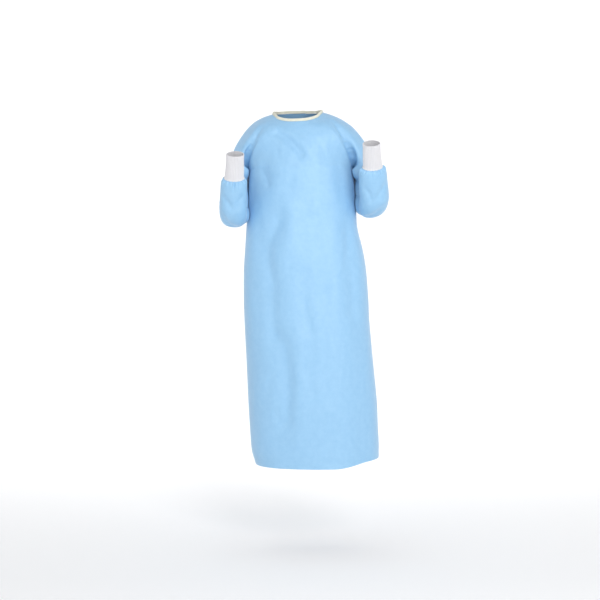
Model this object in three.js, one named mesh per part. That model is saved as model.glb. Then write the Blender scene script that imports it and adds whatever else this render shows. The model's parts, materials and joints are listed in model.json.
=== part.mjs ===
// A surgical gown, worn and closed at the back, with both forearms raised.
// Millimetres, +Z up. The front faces -Y. The wearer's right is -X and the wearer's left is +X.
// The origin is at the base of the neck, midway between the tops of the two shoulders,
// where the gown hangs from its wearer.
//
// Every piece of cloth is a wall. Its outer face is a grid of points worked out from the tables
// below, and its inner face is that grid moved in by the wall's thickness. Pieces that are sewn
// together share the points of their seam, less a gap of 0.3 mm.

import * as THREE from 'three';
import { mergeVertices } from 'three/addons/utils/BufferGeometryUtils.js';

// Wall thicknesses and seam gap
const CLOTH_WALL = 1.5;
const CUFF_WALL = 2.2;
const BINDING_WALL = 2.4;
const TAPE_WALL = 1.2;
const SEAM_GAP = 0.3;
const SEAM_SMOOTHING = 3;

// Lengths down the gown
const HEM_Z = -1184;
const UNDERARM_Z = -205;
const SIDE_SEAM_Y = 2;
const LEFT_HEM_LIFT = 22;
const LEFT_HEM_LIFT_FADE = 260;

// Mesh density
const FRONT_COLUMNS = 18;
const BACK_COLUMNS = 12;
const BODY_ROWS = 14;
const YOKE_ROWS = 7;
const NECK_SEGMENTS = 4;
const ELBOW_STEPS = 8;
const CUFF_RIBS = 36;

// Roundness of the body's sections: 2 is an ellipse, more is squarer
const SECTION_POWER = 2.35;

// Body sections, from the hem up to the underarm: how far the cloth reaches to each side
const BODY_SECTIONS = [
  { z: -1184, right: -140, left: 272, front: -158, back: 150 },
  { z: -1142, right: -153, left: 273, front: -157, back: 149 },
  { z: -1075, right: -159, left: 270, front: -156, back: 148 },
  { z: -974, right: -165, left: 266, front: -154, back: 146 },
  { z: -840, right: -171, left: 253, front: -151, back: 143 },
  { z: -705, right: -178, left: 241, front: -148, back: 140 },
  { z: -638, right: -180, left: 238, front: -146, back: 137 },
  { z: -537, right: -180, left: 230, front: -143, back: 132 },
  { z: -470, right: -176, left: 219, front: -140, back: 127 },
  { z: -389, right: -171, left: 200, front: -136, back: 123 },
  { z: -300, right: -165, left: 197, front: -132, back: 123 },
  { z: -205, right: -163, left: 184, front: -128, back: 125 },
];

// Raglan seams, from the underarm up to the neck edge
const RAGLAN_SEAMS = {
  right: {
    front: [
      { x: -163, y: 2, z: -205 },
      { x: -159, y: -44, z: -178 },
      { x: -141, y: -78, z: -142 },
      { x: -117, y: -92, z: -104 },
      { x: -92, y: -82, z: -70 },
      { x: -67, y: -54, z: -39 },
    ],
    back: [
      { x: -163, y: 2, z: -205 },
      { x: -160, y: 50, z: -172 },
      { x: -143, y: 86, z: -130 },
      { x: -118, y: 99, z: -86 },
      { x: -92, y: 84, z: -42 },
      { x: -66, y: 52, z: -6 },
    ],
    neck: [
      { x: -67, y: -54, z: -39 },
      { x: -80, y: -27, z: -23 },
      { x: -85, y: 2, z: -14 },
      { x: -80, y: 29, z: -9 },
      { x: -66, y: 52, z: -6 },
    ],
  },
  left: {
    front: [
      { x: 184, y: 2, z: -205 },
      { x: 174, y: -44, z: -176 },
      { x: 154, y: -78, z: -138 },
      { x: 127, y: -92, z: -98 },
      { x: 98, y: -82, z: -62 },
      { x: 68, y: -54, z: -33 },
    ],
    back: [
      { x: 184, y: 2, z: -205 },
      { x: 174, y: 50, z: -170 },
      { x: 154, y: 86, z: -126 },
      { x: 127, y: 99, z: -80 },
      { x: 97, y: 84, z: -35 },
      { x: 67, y: 52, z: -3 },
    ],
    neck: [
      { x: 68, y: -54, z: -33 },
      { x: 81, y: -27, z: -16 },
      { x: 86, y: 2, z: -7 },
      { x: 81, y: 29, z: -4 },
      { x: 67, y: 52, z: -3 },
    ],
  },
};

// Middle of the front and of the back between the raglan seams: reach is the y of the centre line,
// and dip is how far the centre lies above or below the seams at that row
const YOKE_FRONT = [
  { t: 0, reach: -128, dip: 0 },
  { t: 0.25, reach: -124, dip: 0 },
  { t: 0.5, reach: -114, dip: 0 },
  { t: 0.75, reach: -100, dip: -8 },
  { t: 1, reach: -84, dip: -15 },
];
const DIP_POWER = 2.5;
const YOKE_BACK = [
  { t: 0, reach: 125, dip: 0 },
  { t: 0.25, reach: 124, dip: 0 },
  { t: 0.5, reach: 119, dip: 0 },
  { t: 0.75, reach: 103, dip: 4 },
  { t: 1, reach: 74, dip: 4 },
];

// Arms. The elbow is bent round a crease, and the two angles are how far the front of the sleeve
// has turned up where the bend starts and ends. Half widths are across (x) and deep. Roll lifts
// the outer side of the elbow, and the shifts carry the elbow's end and the wrist sideways.
const ARMS = {
  right: {
    sign: -1,
    crease: { x: -214, y: -75, z: -304 },
    creaseRadius: 5,
    startAngle: 5,
    endAngle: 146,
    roll: 4,
    elbowAcross: 45,
    elbowDeep: 45,
    elbowShift: 4,
    forearmLength: 101,
    wristShift: 14,
    shoulderSlope: -0.3,
    downAndOut: 0.22,
  },
  left: {
    sign: 1,
    crease: { x: 245, y: -75, z: -268 },
    creaseRadius: 5,
    startAngle: 5,
    endAngle: 142,
    roll: 10,
    elbowAcross: 48,
    elbowDeep: 47,
    elbowShift: 5,
    forearmLength: 110,
    wristShift: -17,
    shoulderSlope: -0.24,
    downAndOut: 0.3,
  },
};
const SLEEVE_POWER = 2.3;
const SHOULDER_FULLNESS = { outer: 1.2, inner: 0.95 };
const HEADING_SMOOTHING = 6;
const SHOULDER_STEPS = [0, 0.09, 0.2, 0.34, 0.5, 0.67, 0.84];
const SHOULDER_SMOOTHING = 6;

// The upper arm hangs fuller behind, against the body: how far a spot of the ring is moved towards
// the body and back. Each ring from the raglan seam to the forearm takes its share of that.
const HANGING = [
  { spot: 19, inward: 0, back: 0 },
  { spot: 23, inward: 0, back: 12 },
  { spot: 26, inward: 0, back: 22 },
  { spot: 28, inward: 6, back: 27 },
  { spot: 30, inward: 16, back: 31 },
  { spot: 31, inward: 17, back: 32 },
  { spot: 32, inward: 13, back: 33 },
  { spot: 33, inward: 5.5, back: 26 },
  { spot: 34, inward: 2, back: 16 },
  { spot: 35, inward: 0.4, back: 8 },
  { spot: 36, inward: 0, back: 2 },
];
const HANGING_SHARES = [0, 0.1, 0.35, 0.65, 0.85, 0.95, 1, 1, 0.95, 0.75, 0.45, 0.15];

// Forearm of the sleeve from the elbow to the cuff: part of the length, and half widths against
// those of the elbow. The cloth is gathered in over the last stretch.
const FOREARM_SECTIONS = [
  { along: 0.25, across: 0.98, deep: 0.93, gather: 0 },
  { along: 0.5, across: 0.96, deep: 0.86, gather: 0.1 },
  { along: 0.7, across: 0.95, deep: 0.8, gather: 0.35 },
  { along: 0.85, across: 0.92, deep: 0.74, gather: 0.8 },
  { along: 0.94, across: 0.85, deep: 0.66, gather: 1 },
];
const GATHERS = 12;
const GATHER_DEPTH = 2.2;
const GATHER_AT_CUFF = 0.4;

// Knit cuff, from the sleeve to the wrist end
const CUFF_LENGTH = 86;
const RIB_DEPTH = 0.8;
const CUFF_SECTIONS = [
  { along: 0, across: 31.5, deep: 23 },
  { along: 0.35, across: 30, deep: 22 },
  { along: 0.8, across: 28.5, deep: 21 },
  { along: 1, across: 29, deep: 21.5 },
];

// Neck binding
const BINDING_WIDTH = 10;
const BINDING_RISE = 0.75;
const BINDING_SMOOTHING = 6;
const BINDING_LIFT = 0.25;

// Back opening: how far each back panel runs past the middle, against the half width there
const BACK_LAP = [
  { z: -1184, past: 0.56 },
  { z: -700, past: 0.5 },
  { z: -205, past: 0.43 },
  { z: 0, past: 0.43 },
];
const LAP_STEP = 6;

// Soft folds. Each follows a path of x and z, and is a trough where depth is above 0 and a ridge
// where it is below
const FRONT_FOLDS = [
  {
    path: [{ x: -62, z: -370 }, { x: -100, z: -470 }, { x: -88, z: -600 }, { x: -78, z: -750 }],
    width: 34,
    depth: 7,
  },
  {
    path: [{ x: -70, z: -780 }, { x: -44, z: -860 }, { x: -40, z: -1000 }, { x: -58, z: -1100 }],
    width: 36,
    depth: 7,
  },
  { path: [{ x: 6, z: -760 }, { x: 2, z: -1010 }], width: 30, depth: -5 },
  { path: [{ x: 168, z: -400 }, { x: 176, z: -520 }, { x: 182, z: -680 }], width: 26, depth: 6 },
  { path: [{ x: 215, z: -760 }, { x: 222, z: -1184 }], width: 30, depth: 5 },
  { path: [{ x: 20, z: -560 }, { x: 30, z: -700 }, { x: 34, z: -860 }], width: 26, depth: 3 },
  {
    path: [{ x: -72, z: -92 }, { x: -36, z: -106 }, { x: 0, z: -142 }, { x: 8, z: -172 }],
    width: 17,
    depth: 4,
  },
  { path: [{ x: -112, z: -208 }, { x: -100, z: -250 }], width: 20, depth: 5 },
  { path: [{ x: 140, z: -190 }, { x: 150, z: -300 }], width: 22, depth: 4 },
];
const BACK_FOLDS = [
  { path: [{ x: 70, z: -330 }, { x: 96, z: -520 }, { x: 110, z: -760 }], width: 34, depth: 7 },
  { path: [{ x: 150, z: -700 }, { x: 168, z: -1184 }], width: 38, depth: 8 },
  { path: [{ x: -90, z: -360 }, { x: -104, z: -600 }, { x: -96, z: -860 }], width: 32, depth: 6 },
  { path: [{ x: -60, z: -900 }, { x: -66, z: -1184 }], width: 34, depth: 7 },
  { path: [{ x: 30, z: -600 }, { x: 44, z: -980 }], width: 30, depth: -5 },
  { path: [{ x: 60, z: -120 }, { x: 20, z: -200 }], width: 24, depth: 4 },
  { path: [{ x: -70, z: -130 }, { x: -40, z: -240 }], width: 24, depth: 4 },
];

// Neck tab across the back opening, just under the binding. Its upper and lower edges are in
// rows down from the neck edge.
const TAB = { from: -58, to: 14, upper: 0.18, lower: 0.92 };

// Waist ties: two flat tapes from beside the side seams to a knot at the middle of the back, and
// the two tails that hang from it
const TAPE_STAND_OFF = 3;
const TIE_Z = -430;
const TIE_DROP = 12;
const TIE_WIDTH = { side: 28, knot: 19 };
const TIE_STARTS = { right: -166, left: 196 };
const TIE_STATIONS = 12;
const KNOT_CENTRE_X = 8;
const KNOT_HALF = { x: 16, y: 8, z: 14 };
const TAILS = {
  right: { top: -6, bottom: -20, length: 205, width: 21, slant: 7 },
  left: { top: 21, bottom: 40, length: 180, width: 21, slant: -9 },
};
const TAIL_STATIONS = 6;
const LAP_RAMP = 16;

const MATERIALS = {
  nonwoven: { color: 0xa6d6f6, roughness: 0.8 },
  knit: { color: 0xebe9ec, roughness: 0.95 },
  binding: { color: 0xe4e4cc, roughness: 0.85 },
  tape: { color: 0xb4dcf6, roughness: 0.8 },
};

const group = new THREE.Group();

// Small helpers
const vec = (x, y, z) => new THREE.Vector3(x, y, z);
const point = (row) => vec(row.x, row.y, row.z);
const mix = (a, b, t) => a + (b - a) * t;
const radians = THREE.MathUtils.degToRad;

function smooth(from, to, value) {
  const t = THREE.MathUtils.clamp((value - from) / (to - from), 0, 1);
  return t * t * (3 - 2 * t);
}

// Reads a table at a key between its rows, with a smooth curve through all of them
function readTable(table, keyName, key, column) {
  const last = table.length - 1;
  let i = 0;
  while (i < last - 1 && key > table[i + 1][keyName]) i += 1;
  const a = table[i];
  const b = table[i + 1];
  const before = table[Math.max(i - 1, 0)];
  const after = table[Math.min(i + 2, last)];
  const span = b[keyName] - a[keyName];
  const t = THREE.MathUtils.clamp((key - a[keyName]) / span, 0, 1);
  const slopeA = (b[column] - before[column]) / (b[keyName] - before[keyName]);
  const slopeB = (after[column] - a[column]) / (after[keyName] - a[keyName]);
  const rise = b[column] - a[column];
  const easeA = t * (1 - t) * (1 - t) * (slopeA * span - rise);
  const easeB = -t * t * (1 - t) * (slopeB * span - rise);
  return a[column] + rise * t + easeA + easeB;
}

// Distance from a spot on the front or back to a fold's path, on the x and z plane
function distanceToPath(x, z, path) {
  let nearest = Infinity;
  for (let i = 1; i < path.length; i += 1) {
    const a = path[i - 1];
    const b = path[i];
    const dx = b.x - a.x;
    const dz = b.z - a.z;
    const t = THREE.MathUtils.clamp(((x - a.x) * dx + (z - a.z) * dz) / (dx * dx + dz * dz), 0, 1);
    nearest = Math.min(nearest, Math.hypot(x - a.x - dx * t, z - a.z - dz * t));
  }
  return nearest;
}

function foldDepth(folds, x, z) {
  let depth = 0;
  for (const fold of folds) {
    const d = distanceToPath(x, z, fold.path) / fold.width;
    depth += fold.depth * Math.exp(-d * d);
  }
  return depth;
}

// Rows of the body, from the hem to the underarm and on up the raglan seams to the neck.
// Each has its two ends, the reach of its middle, and how much it is a yoke row.
function seamPoints(seam) {
  const curve = new THREE.CatmullRomCurve3(seam.map(point), false, 'centripetal');
  return curve.getSpacedPoints(YOKE_ROWS);
}

const SEAM_POINTS = {
  right: { front: seamPoints(RAGLAN_SEAMS.right.front), back: seamPoints(RAGLAN_SEAMS.right.back) },
  left: { front: seamPoints(RAGLAN_SEAMS.left.front), back: seamPoints(RAGLAN_SEAMS.left.back) },
};

function bodyRows(face, yoke) {
  const rows = [];
  for (let r = 0; r <= BODY_ROWS; r += 1) {
    const z = mix(HEM_Z, UNDERARM_Z, r / BODY_ROWS);
    rows.push({
      right: vec(readTable(BODY_SECTIONS, 'z', z, 'right'), SIDE_SEAM_Y, z),
      left: vec(readTable(BODY_SECTIONS, 'z', z, 'left'), SIDE_SEAM_Y, z),
      reach: readTable(BODY_SECTIONS, 'z', z, face),
      dip: 0,
      yoke: 0,
    });
  }
  for (let r = 1; r <= YOKE_ROWS; r += 1) {
    const t = r / YOKE_ROWS;
    rows.push({
      right: SEAM_POINTS.right[face][r],
      left: SEAM_POINTS.left[face][r],
      reach: readTable(yoke, 't', t, 'reach'),
      dip: readTable(yoke, 't', t, 'dip'),
      yoke: smooth(0, 0.45, t),
    });
  }
  return rows;
}

const FRONT_ROWS = bodyRows('front', YOKE_FRONT);
const BACK_ROWS = bodyRows('back', YOKE_BACK);

// One spot of the body: across runs from -1 at the right seam to 1 at the left seam, and lift
// moves the spot straight out from the body
function bodyPoint(row, across, folds, lift) {
  const outline = Math.pow(Math.max(1 - Math.pow(Math.abs(across), SECTION_POWER), 0), 1 / SECTION_POWER);
  const bulge = mix(outline, 1 - across * across, row.yoke);
  const share = (1 + across) / 2;
  const p = row.right.clone().lerp(row.left, share);
  const middleY = (row.right.y + row.left.y) / 2;
  p.y += (row.reach - middleY) * bulge;
  p.z += row.dip * (1 - Math.abs(across) ** DIP_POWER);
  const side = Math.sign(row.reach);
  const out = vec(across * 0.8, side * Math.max(bulge, 0.05), 0).normalize();
  const inset = foldDepth(folds, p.x, p.z) * smooth(0, 0.35, 1 - Math.abs(across));
  const nearHem = smooth(HEM_Z + LEFT_HEM_LIFT_FADE, HEM_Z, p.z);
  p.addScaledVector(out, lift - inset);
  p.z += LEFT_HEM_LIFT * nearHem * smooth(0.25, 1, across);
  return p;
}

// Columns are spaced evenly round the section
function acrossAt(share) {
  const c = Math.cos(Math.PI * (1 - share));
  return Math.sign(c) * Math.pow(Math.abs(c), 2 / SECTION_POWER);
}

function frontGrid() {
  return FRONT_ROWS.map((row) => {
    const line = [];
    for (let c = 0; c <= FRONT_COLUMNS; c += 1) {
      line.push(bodyPoint(row, acrossAt(c / FRONT_COLUMNS), FRONT_FOLDS, 0));
    }
    return line;
  });
}

// A back panel starts at its own side seam and runs past the middle. The under panel steps in
// where the other one lies over it.
function backGrid(sign, step) {
  return BACK_ROWS.map((row) => {
    const line = [];
    const past = readTable(BACK_LAP, 'z', row.right.z, 'past');
    const endShare = Math.acos(-Math.pow(past, SECTION_POWER / 2)) / Math.PI;
    for (let c = 0; c <= BACK_COLUMNS; c += 1) {
      const fromSeam = acrossAt((c / BACK_COLUMNS) * endShare);
      const lift = step * smooth(-0.9, -0.45, fromSeam);
      line.push(bodyPoint(row, -sign * fromSeam, BACK_FOLDS, lift));
    }
    return line;
  });
}

// A sleeve starts on the raglan seams and the neck edge, and runs over the shoulder, down the
// arm, round the elbow and up the forearm. A ring starts at the underarm and goes round by the front.
function halfwayPoints(points) {
  const all = [];
  points.forEach((p, i) => {
    if (i > 0) all.push(p.clone().add(points[i - 1]).multiplyScalar(0.5));
    all.push(p);
  });
  return all;
}

function sleeveStart(side) {
  const neckCurve = new THREE.CatmullRomCurve3(RAGLAN_SEAMS[side].neck.map(point), false, 'centripetal');
  const front = SEAM_POINTS[side].front;
  const neck = neckCurve.getSpacedPoints(NECK_SEGMENTS).slice(1, -1);
  const back = [...SEAM_POINTS[side].back].reverse();
  return halfwayPoints([...front, ...neck, ...back]).slice(0, -1);
}

const RING = 2 * (2 * YOKE_ROWS + NECK_SEGMENTS);

function armAxes(arm, degrees) {
  const angle = radians(degrees);
  const roll = radians(arm.roll) * Math.sin(angle);
  const front = vec(0, -Math.cos(angle), Math.sin(angle));
  const outer = vec(arm.sign * Math.cos(roll), 0, 0).addScaledVector(front, Math.sin(roll));
  return { outer, front, along: vec(0, -Math.sin(angle), -Math.cos(angle)) };
}

// A ring of the sleeve or cuff: it starts at the underside and goes round by the front
function armRing(centre, axes, size, ripple, count) {
  const ring = [];
  for (let k = 0; k < count; k += 1) {
    const angle = Math.PI - (2 * Math.PI * k) / count;
    const c = Math.cos(angle);
    const s = Math.sin(angle);
    const power = size.power;
    const reach = 1 / Math.pow(Math.abs(c) ** power + Math.abs(s) ** power, 1 / power);
    const out = ripple(k);
    const p = centre.clone();
    p.addScaledVector(axes.outer, c * (size.across * reach + out));
    p.addScaledVector(axes.front, s * (size.deep * reach + out));
    ring.push(p);
  }
  return ring;
}

const plain = () => 0;

function elbowRing(arm, degrees) {
  const axes = armAxes(arm, degrees);
  const reach = arm.creaseRadius + arm.elbowDeep;
  const centre = point(arm.crease).addScaledVector(axes.front, -reach);
  centre.x += arm.elbowShift * smooth(arm.startAngle, arm.endAngle, degrees);
  const size = { across: arm.elbowAcross, deep: arm.elbowDeep, power: SLEEVE_POWER };
  return armRing(centre, axes, size, plain, RING);
}

// Way from the elbow's end along the forearm
function forearmCentre(arm, distance) {
  const axes = armAxes(arm, arm.endAngle);
  const reach = arm.creaseRadius + arm.elbowDeep;
  const centre = point(arm.crease).addScaledVector(axes.front, -reach);
  centre.addScaledVector(axes.along, distance);
  centre.x += arm.elbowShift + (arm.wristShift * distance) / (arm.forearmLength + CUFF_LENGTH);
  return centre;
}

// Direction in which the cloth leaves the raglan seam or the neck edge, for each spot of the ring:
// square to the seam in the panel's own surface, and straight out under the arm
function awayFromSeam(panel, r, end, next) {
  const row = BODY_ROWS + r;
  const above = panel[Math.min(row + 1, panel.length - 1)][end];
  const below = panel[Math.max(row - 1, BODY_ROWS)][end];
  const seam = above.clone().sub(below).normalize();
  const away = panel[row][end].clone().sub(panel[row][next]);
  return away.addScaledVector(seam, -away.dot(seam)).normalize();
}

function sleeveHeadings(side, frontPanel, backPanel) {
  const arm = ARMS[side];
  const end = side === 'right' ? 0 : FRONT_COLUMNS;
  const next = side === 'right' ? 1 : FRONT_COLUMNS - 1;
  const underarm = vec(arm.sign, 0, -0.15).normalize();
  const shoulder = vec(arm.sign, 0, arm.shoulderSlope).normalize();
  const outward = (away, r) => away.addScaledVector(underarm, 1.6 * (1 - smooth(0, 0.7, r / YOKE_ROWS)));
  const headings = [underarm];
  for (let r = 1; r <= YOKE_ROWS; r += 1) headings.push(outward(awayFromSeam(frontPanel, r, end, next), r));
  for (let n = 1; n < NECK_SEGMENTS; n += 1) headings.push(shoulder);
  for (let r = YOKE_ROWS; r >= 1; r -= 1) headings.push(outward(awayFromSeam(backPanel, r, 0, 1), r));
  headings.push(underarm);
  let ring = halfwayPoints(headings.map((v) => v.clone().normalize())).slice(0, -1);
  for (let pass = 0; pass < HEADING_SMOOTHING; pass += 1) ring = evened(ring).map((v) => v.normalize());
  return ring;
}

// Evens out a ring of points or directions against their two neighbours
function evened(ring) {
  return ring.map((v, k) => {
    const sum = v.clone().multiplyScalar(2).add(ring[(k + 1) % RING]).add(ring[(k + RING - 1) % RING]);
    return sum.multiplyScalar(0.25);
  });
}

function shoulderRings(arm, headings, start, elbow) {
  const down = armAxes(arm, arm.startAngle).along;
  const heading = vec(arm.sign * arm.downAndOut, 0, 0).add(down).normalize();
  const rings = SHOULDER_STEPS.map((s) => start.map((p, k) => {
    const outer = (1 - Math.cos((2 * Math.PI * k) / RING)) / 2;
    const pull = p.distanceTo(elbow[k]) * mix(SHOULDER_FULLNESS.inner, SHOULDER_FULLNESS.outer, outer);
    const s2 = s * s;
    const s3 = s2 * s;
    const q = p.clone().multiplyScalar(2 * s3 - 3 * s2 + 1);
    q.addScaledVector(headings[k], pull * (s3 - 2 * s2 + s));
    q.addScaledVector(elbow[k], 3 * s2 - 2 * s3);
    q.addScaledVector(heading, pull * (s3 - s2));
    return q;
  }));
  return rings.map((ring, i) => {
    let even = ring;
    for (let pass = 0; pass < Math.min(2 * i, SHOULDER_SMOOTHING); pass += 1) even = evened(even);
    return even;
  });
}

function hungRing(ring, arm, share) {
  return ring.map((p, k) => {
    const spot = k === 0 ? RING : k;
    if (spot < HANGING[0].spot) return p;
    const inward = readTable(HANGING, 'spot', spot, 'inward') * share ** 3;
    return vec(p.x - arm.sign * inward, p.y + readTable(HANGING, 'spot', spot, 'back') * share, p.z);
  });
}

function sleeveGrid(side, headings, start) {
  const arm = ARMS[side];
  const rings = shoulderRings(arm, headings, start, elbowRing(arm, arm.startAngle));
  for (let i = 0; i <= ELBOW_STEPS; i += 1) {
    rings.push(elbowRing(arm, mix(arm.startAngle, arm.endAngle, i / ELBOW_STEPS)));
  }
  HANGING_SHARES.forEach((share, i) => {
    rings[i] = hungRing(rings[i], arm, share);
  });
  const axes = armAxes(arm, arm.endAngle);
  const perGather = RING / GATHERS;
  for (const section of FOREARM_SECTIONS) {
    const centre = forearmCentre(arm, section.along * arm.forearmLength);
    const ripple = (k) => section.gather * GATHER_DEPTH * (k % perGather === 0 ? -1 : 0.5);
    const size = {
      across: arm.elbowAcross * section.across,
      deep: arm.elbowDeep * section.deep,
      power: mix(SLEEVE_POWER, 2, section.along),
    };
    rings.push(armRing(centre, axes, size, ripple, RING));
  }
  // The last ring faces the cuff
  const lastRipple = (k) => GATHER_AT_CUFF * GATHER_DEPTH * (k % perGather === 0 ? -1 : 0.5);
  const cuffSize = { across: CUFF_SECTIONS[0].across, deep: CUFF_SECTIONS[0].deep, power: 2 };
  rings.push(armRing(forearmCentre(arm, arm.forearmLength), axes, cuffSize, lastRipple, RING));
  return rings;
}

// Outward normals of all the sewn pieces together, so that walls meet squarely at a seam
const normalSums = new Map();
const keyOf = (p) => `${Math.round(p.x * 50)},${Math.round(p.y * 50)},${Math.round(p.z * 50)}`;

function eachQuad(grid, closed, visit) {
  for (let r = 0; r < grid.length - 1; r += 1) {
    const count = grid[r].length;
    const end = closed ? count : count - 1;
    for (let c = 0; c < end; c += 1) {
      const d = (c + 1) % count;
      visit(grid[r][c], grid[r][d], grid[r + 1][d], grid[r + 1][c]);
    }
  }
}

function addNormals(grid, closed, flip) {
  eachQuad(grid, closed, (a, b, c, d) => {
    const n = c.clone().sub(a).cross(d.clone().sub(b));
    if (flip) n.negate();
    for (const p of [a, b, c, d]) {
      const key = keyOf(p);
      if (!normalSums.has(key)) normalSums.set(key, vec(0, 0, 0));
      normalSums.get(key).add(n);
    }
  });
}

function normalsOf(grid) {
  return grid.map((line) => line.map((p) => normalSums.get(keyOf(p)).clone().normalize()));
}

// Moves the edges of a grid in by half the seam gap, square to the edge
function stepIn(p, inside, before, after) {
  const edge = after.clone().sub(before).normalize();
  const step = inside.clone().sub(p);
  step.addScaledVector(edge, -step.dot(edge));
  return step.setLength(SEAM_GAP / 2);
}

function drawnIn(grid, closed) {
  const rows = grid.length - 1;
  const columns = grid[0].length;
  const beside = (line, c, way) => {
    if (closed) return line[(c + way + columns) % columns];
    return line[THREE.MathUtils.clamp(c + way, 0, columns - 1)];
  };
  const above = (r, c, way) => grid[THREE.MathUtils.clamp(r + way, 0, rows)][c];
  return grid.map((line, r) => line.map((p, c) => {
    const moved = p.clone();
    if (r === 0) moved.add(stepIn(p, grid[1][c], beside(line, c, -1), beside(line, c, 1)));
    if (r === rows) moved.add(stepIn(p, grid[rows - 1][c], beside(line, c, -1), beside(line, c, 1)));
    if (!closed && c === 0) moved.add(stepIn(p, line[1], above(r, c, -1), above(r, c, 1)));
    if (!closed && c === columns - 1) moved.add(stepIn(p, line[c - 1], above(r, c, -1), above(r, c, 1)));
    return moved;
  }));
}

// A closed solid between an outer and an inner grid
function wallGeometry(outer, inner, closed, flip) {
  const rows = outer.length;
  const columns = outer[0].length;
  const positions = [];
  for (const grid of [outer, inner]) {
    for (const line of grid) {
      for (const p of line) positions.push(p.x, p.y, p.z);
    }
  }
  const at = (layer, r, c) => layer * rows * columns + r * columns + (c % columns);
  const index = [];
  const quad = (a, b, c, d) => {
    if (flip) index.push(a, c, b, a, d, c);
    else index.push(a, b, c, a, c, d);
  };
  const lastColumn = closed ? columns : columns - 1;
  for (let r = 0; r < rows - 1; r += 1) {
    for (let c = 0; c < lastColumn; c += 1) {
      quad(at(0, r, c), at(0, r, c + 1), at(0, r + 1, c + 1), at(0, r + 1, c));
      quad(at(1, r, c), at(1, r + 1, c), at(1, r + 1, c + 1), at(1, r, c + 1));
    }
  }
  for (let c = 0; c < lastColumn; c += 1) {
    quad(at(0, 0, c), at(1, 0, c), at(1, 0, c + 1), at(0, 0, c + 1));
    quad(at(0, rows - 1, c), at(0, rows - 1, c + 1), at(1, rows - 1, c + 1), at(1, rows - 1, c));
  }
  if (!closed) {
    for (let r = 0; r < rows - 1; r += 1) {
      quad(at(0, r, 0), at(0, r + 1, 0), at(1, r + 1, 0), at(1, r, 0));
      quad(at(0, r, lastColumn), at(1, r, lastColumn), at(1, r + 1, lastColumn), at(0, r + 1, lastColumn));
    }
  }
  const geometry = new THREE.BufferGeometry();
  geometry.setAttribute('position', new THREE.Float32BufferAttribute(positions, 3));
  geometry.setIndex(index);
  return geometry;
}

function addPiece(name, geometry, look) {
  const { color, roughness } = MATERIALS[look];
  const material = new THREE.MeshStandardMaterial({ color, roughness, metalness: 0 });
  const mesh = new THREE.Mesh(geometry, material);
  mesh.name = name;
  group.add(mesh);
}

function addWall(name, grid, normals, thickness, closed, flip, look) {
  const outer = drawnIn(grid, closed);
  const stepInward = (p, normal) => p.clone().addScaledVector(normal, -thickness);
  const inner = outer.map((line, r) => line.map((p, c) => stepInward(p, normals[r][c])));
  addPiece(name, wallGeometry(outer, inner, closed, flip), look);
}

// The cloth of the body and the sleeves
const front = frontGrid();
const rightBack = backGrid(-1, -LAP_STEP);
const leftBack = backGrid(1, 1);
const starts = { right: sleeveStart('right'), left: sleeveStart('left') };
const sleeves = {};
for (const side of ['right', 'left']) {
  const headings = sleeveHeadings(side, front, side === 'right' ? rightBack : leftBack);
  sleeves[side] = sleeveGrid(side, headings, starts[side]);
}

// The binding follows the neck edge from the end of the right back to the end of the left back
function sleeveNeckEdge(side) {
  return starts[side].slice(2 * YOKE_ROWS, 2 * (YOKE_ROWS + NECK_SEGMENTS) + 1);
}

function sleeveNeckNext(side) {
  return sleeves[side][1].slice(2 * YOKE_ROWS, 2 * (YOKE_ROWS + NECK_SEGMENTS) + 1);
}

function bindingGrid() {
  const top = FRONT_ROWS.length - 1;
  const stretches = [
    { edge: [...rightBack[top]].reverse(), below: [...rightBack[top - 1]].reverse() },
    { edge: sleeveNeckEdge('right').reverse(), below: sleeveNeckNext('right').reverse() },
    { edge: front[top], below: front[top - 1] },
    { edge: sleeveNeckEdge('left'), below: sleeveNeckNext('left') },
    { edge: leftBack[top], below: leftBack[top - 1] },
  ];
  const lower = [];
  let headings = [];
  stretches.forEach(({ edge, below }, i) => {
    edge.forEach((p, k) => {
      if (i > 0 && k === 0) return;
      const up = p.clone().sub(below[k]).normalize().multiplyScalar(1 - BINDING_RISE);
      lower.push(p.clone());
      headings.push(up.add(vec(0, 0, BINDING_RISE)));
    });
  });
  const last = headings.length - 1;
  for (let pass = 0; pass < BINDING_SMOOTHING; pass += 1) {
    headings = headings.map((v, k) => {
      const before = headings[Math.max(k - 1, 0)];
      const after = headings[Math.min(k + 1, last)];
      return v.clone().multiplyScalar(2).add(before).add(after).normalize();
    });
  }
  const upper = lower.map((p, k) => p.clone().addScaledVector(headings[k], BINDING_WIDTH));
  return [lower, upper];
}

const binding = bindingGrid();

addNormals(front, false, false);
addNormals(rightBack, false, true);
addNormals(leftBack, false, false);
addNormals(sleeves.right, true, false);
addNormals(sleeves.left, true, true);
addNormals(binding, false, false);

// Evens out how the walls turn along the raglan seams, where three surfaces meet at the underarm
for (const side of ['right', 'left']) {
  const { front: up, back: down } = SEAM_POINTS[side];
  const seam = [...down.slice(1).reverse(), ...up];
  for (let pass = 0; pass < SEAM_SMOOTHING; pass += 1) {
    const normals = seam.map((p) => normalSums.get(keyOf(p)).clone().normalize());
    for (let i = 1; i < seam.length - 1; i += 1) {
      const even = normals[i - 1].clone().addScaledVector(normals[i], 2).add(normals[i + 1]);
      normalSums.set(keyOf(seam[i]), even.normalize());
    }
  }
}

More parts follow.
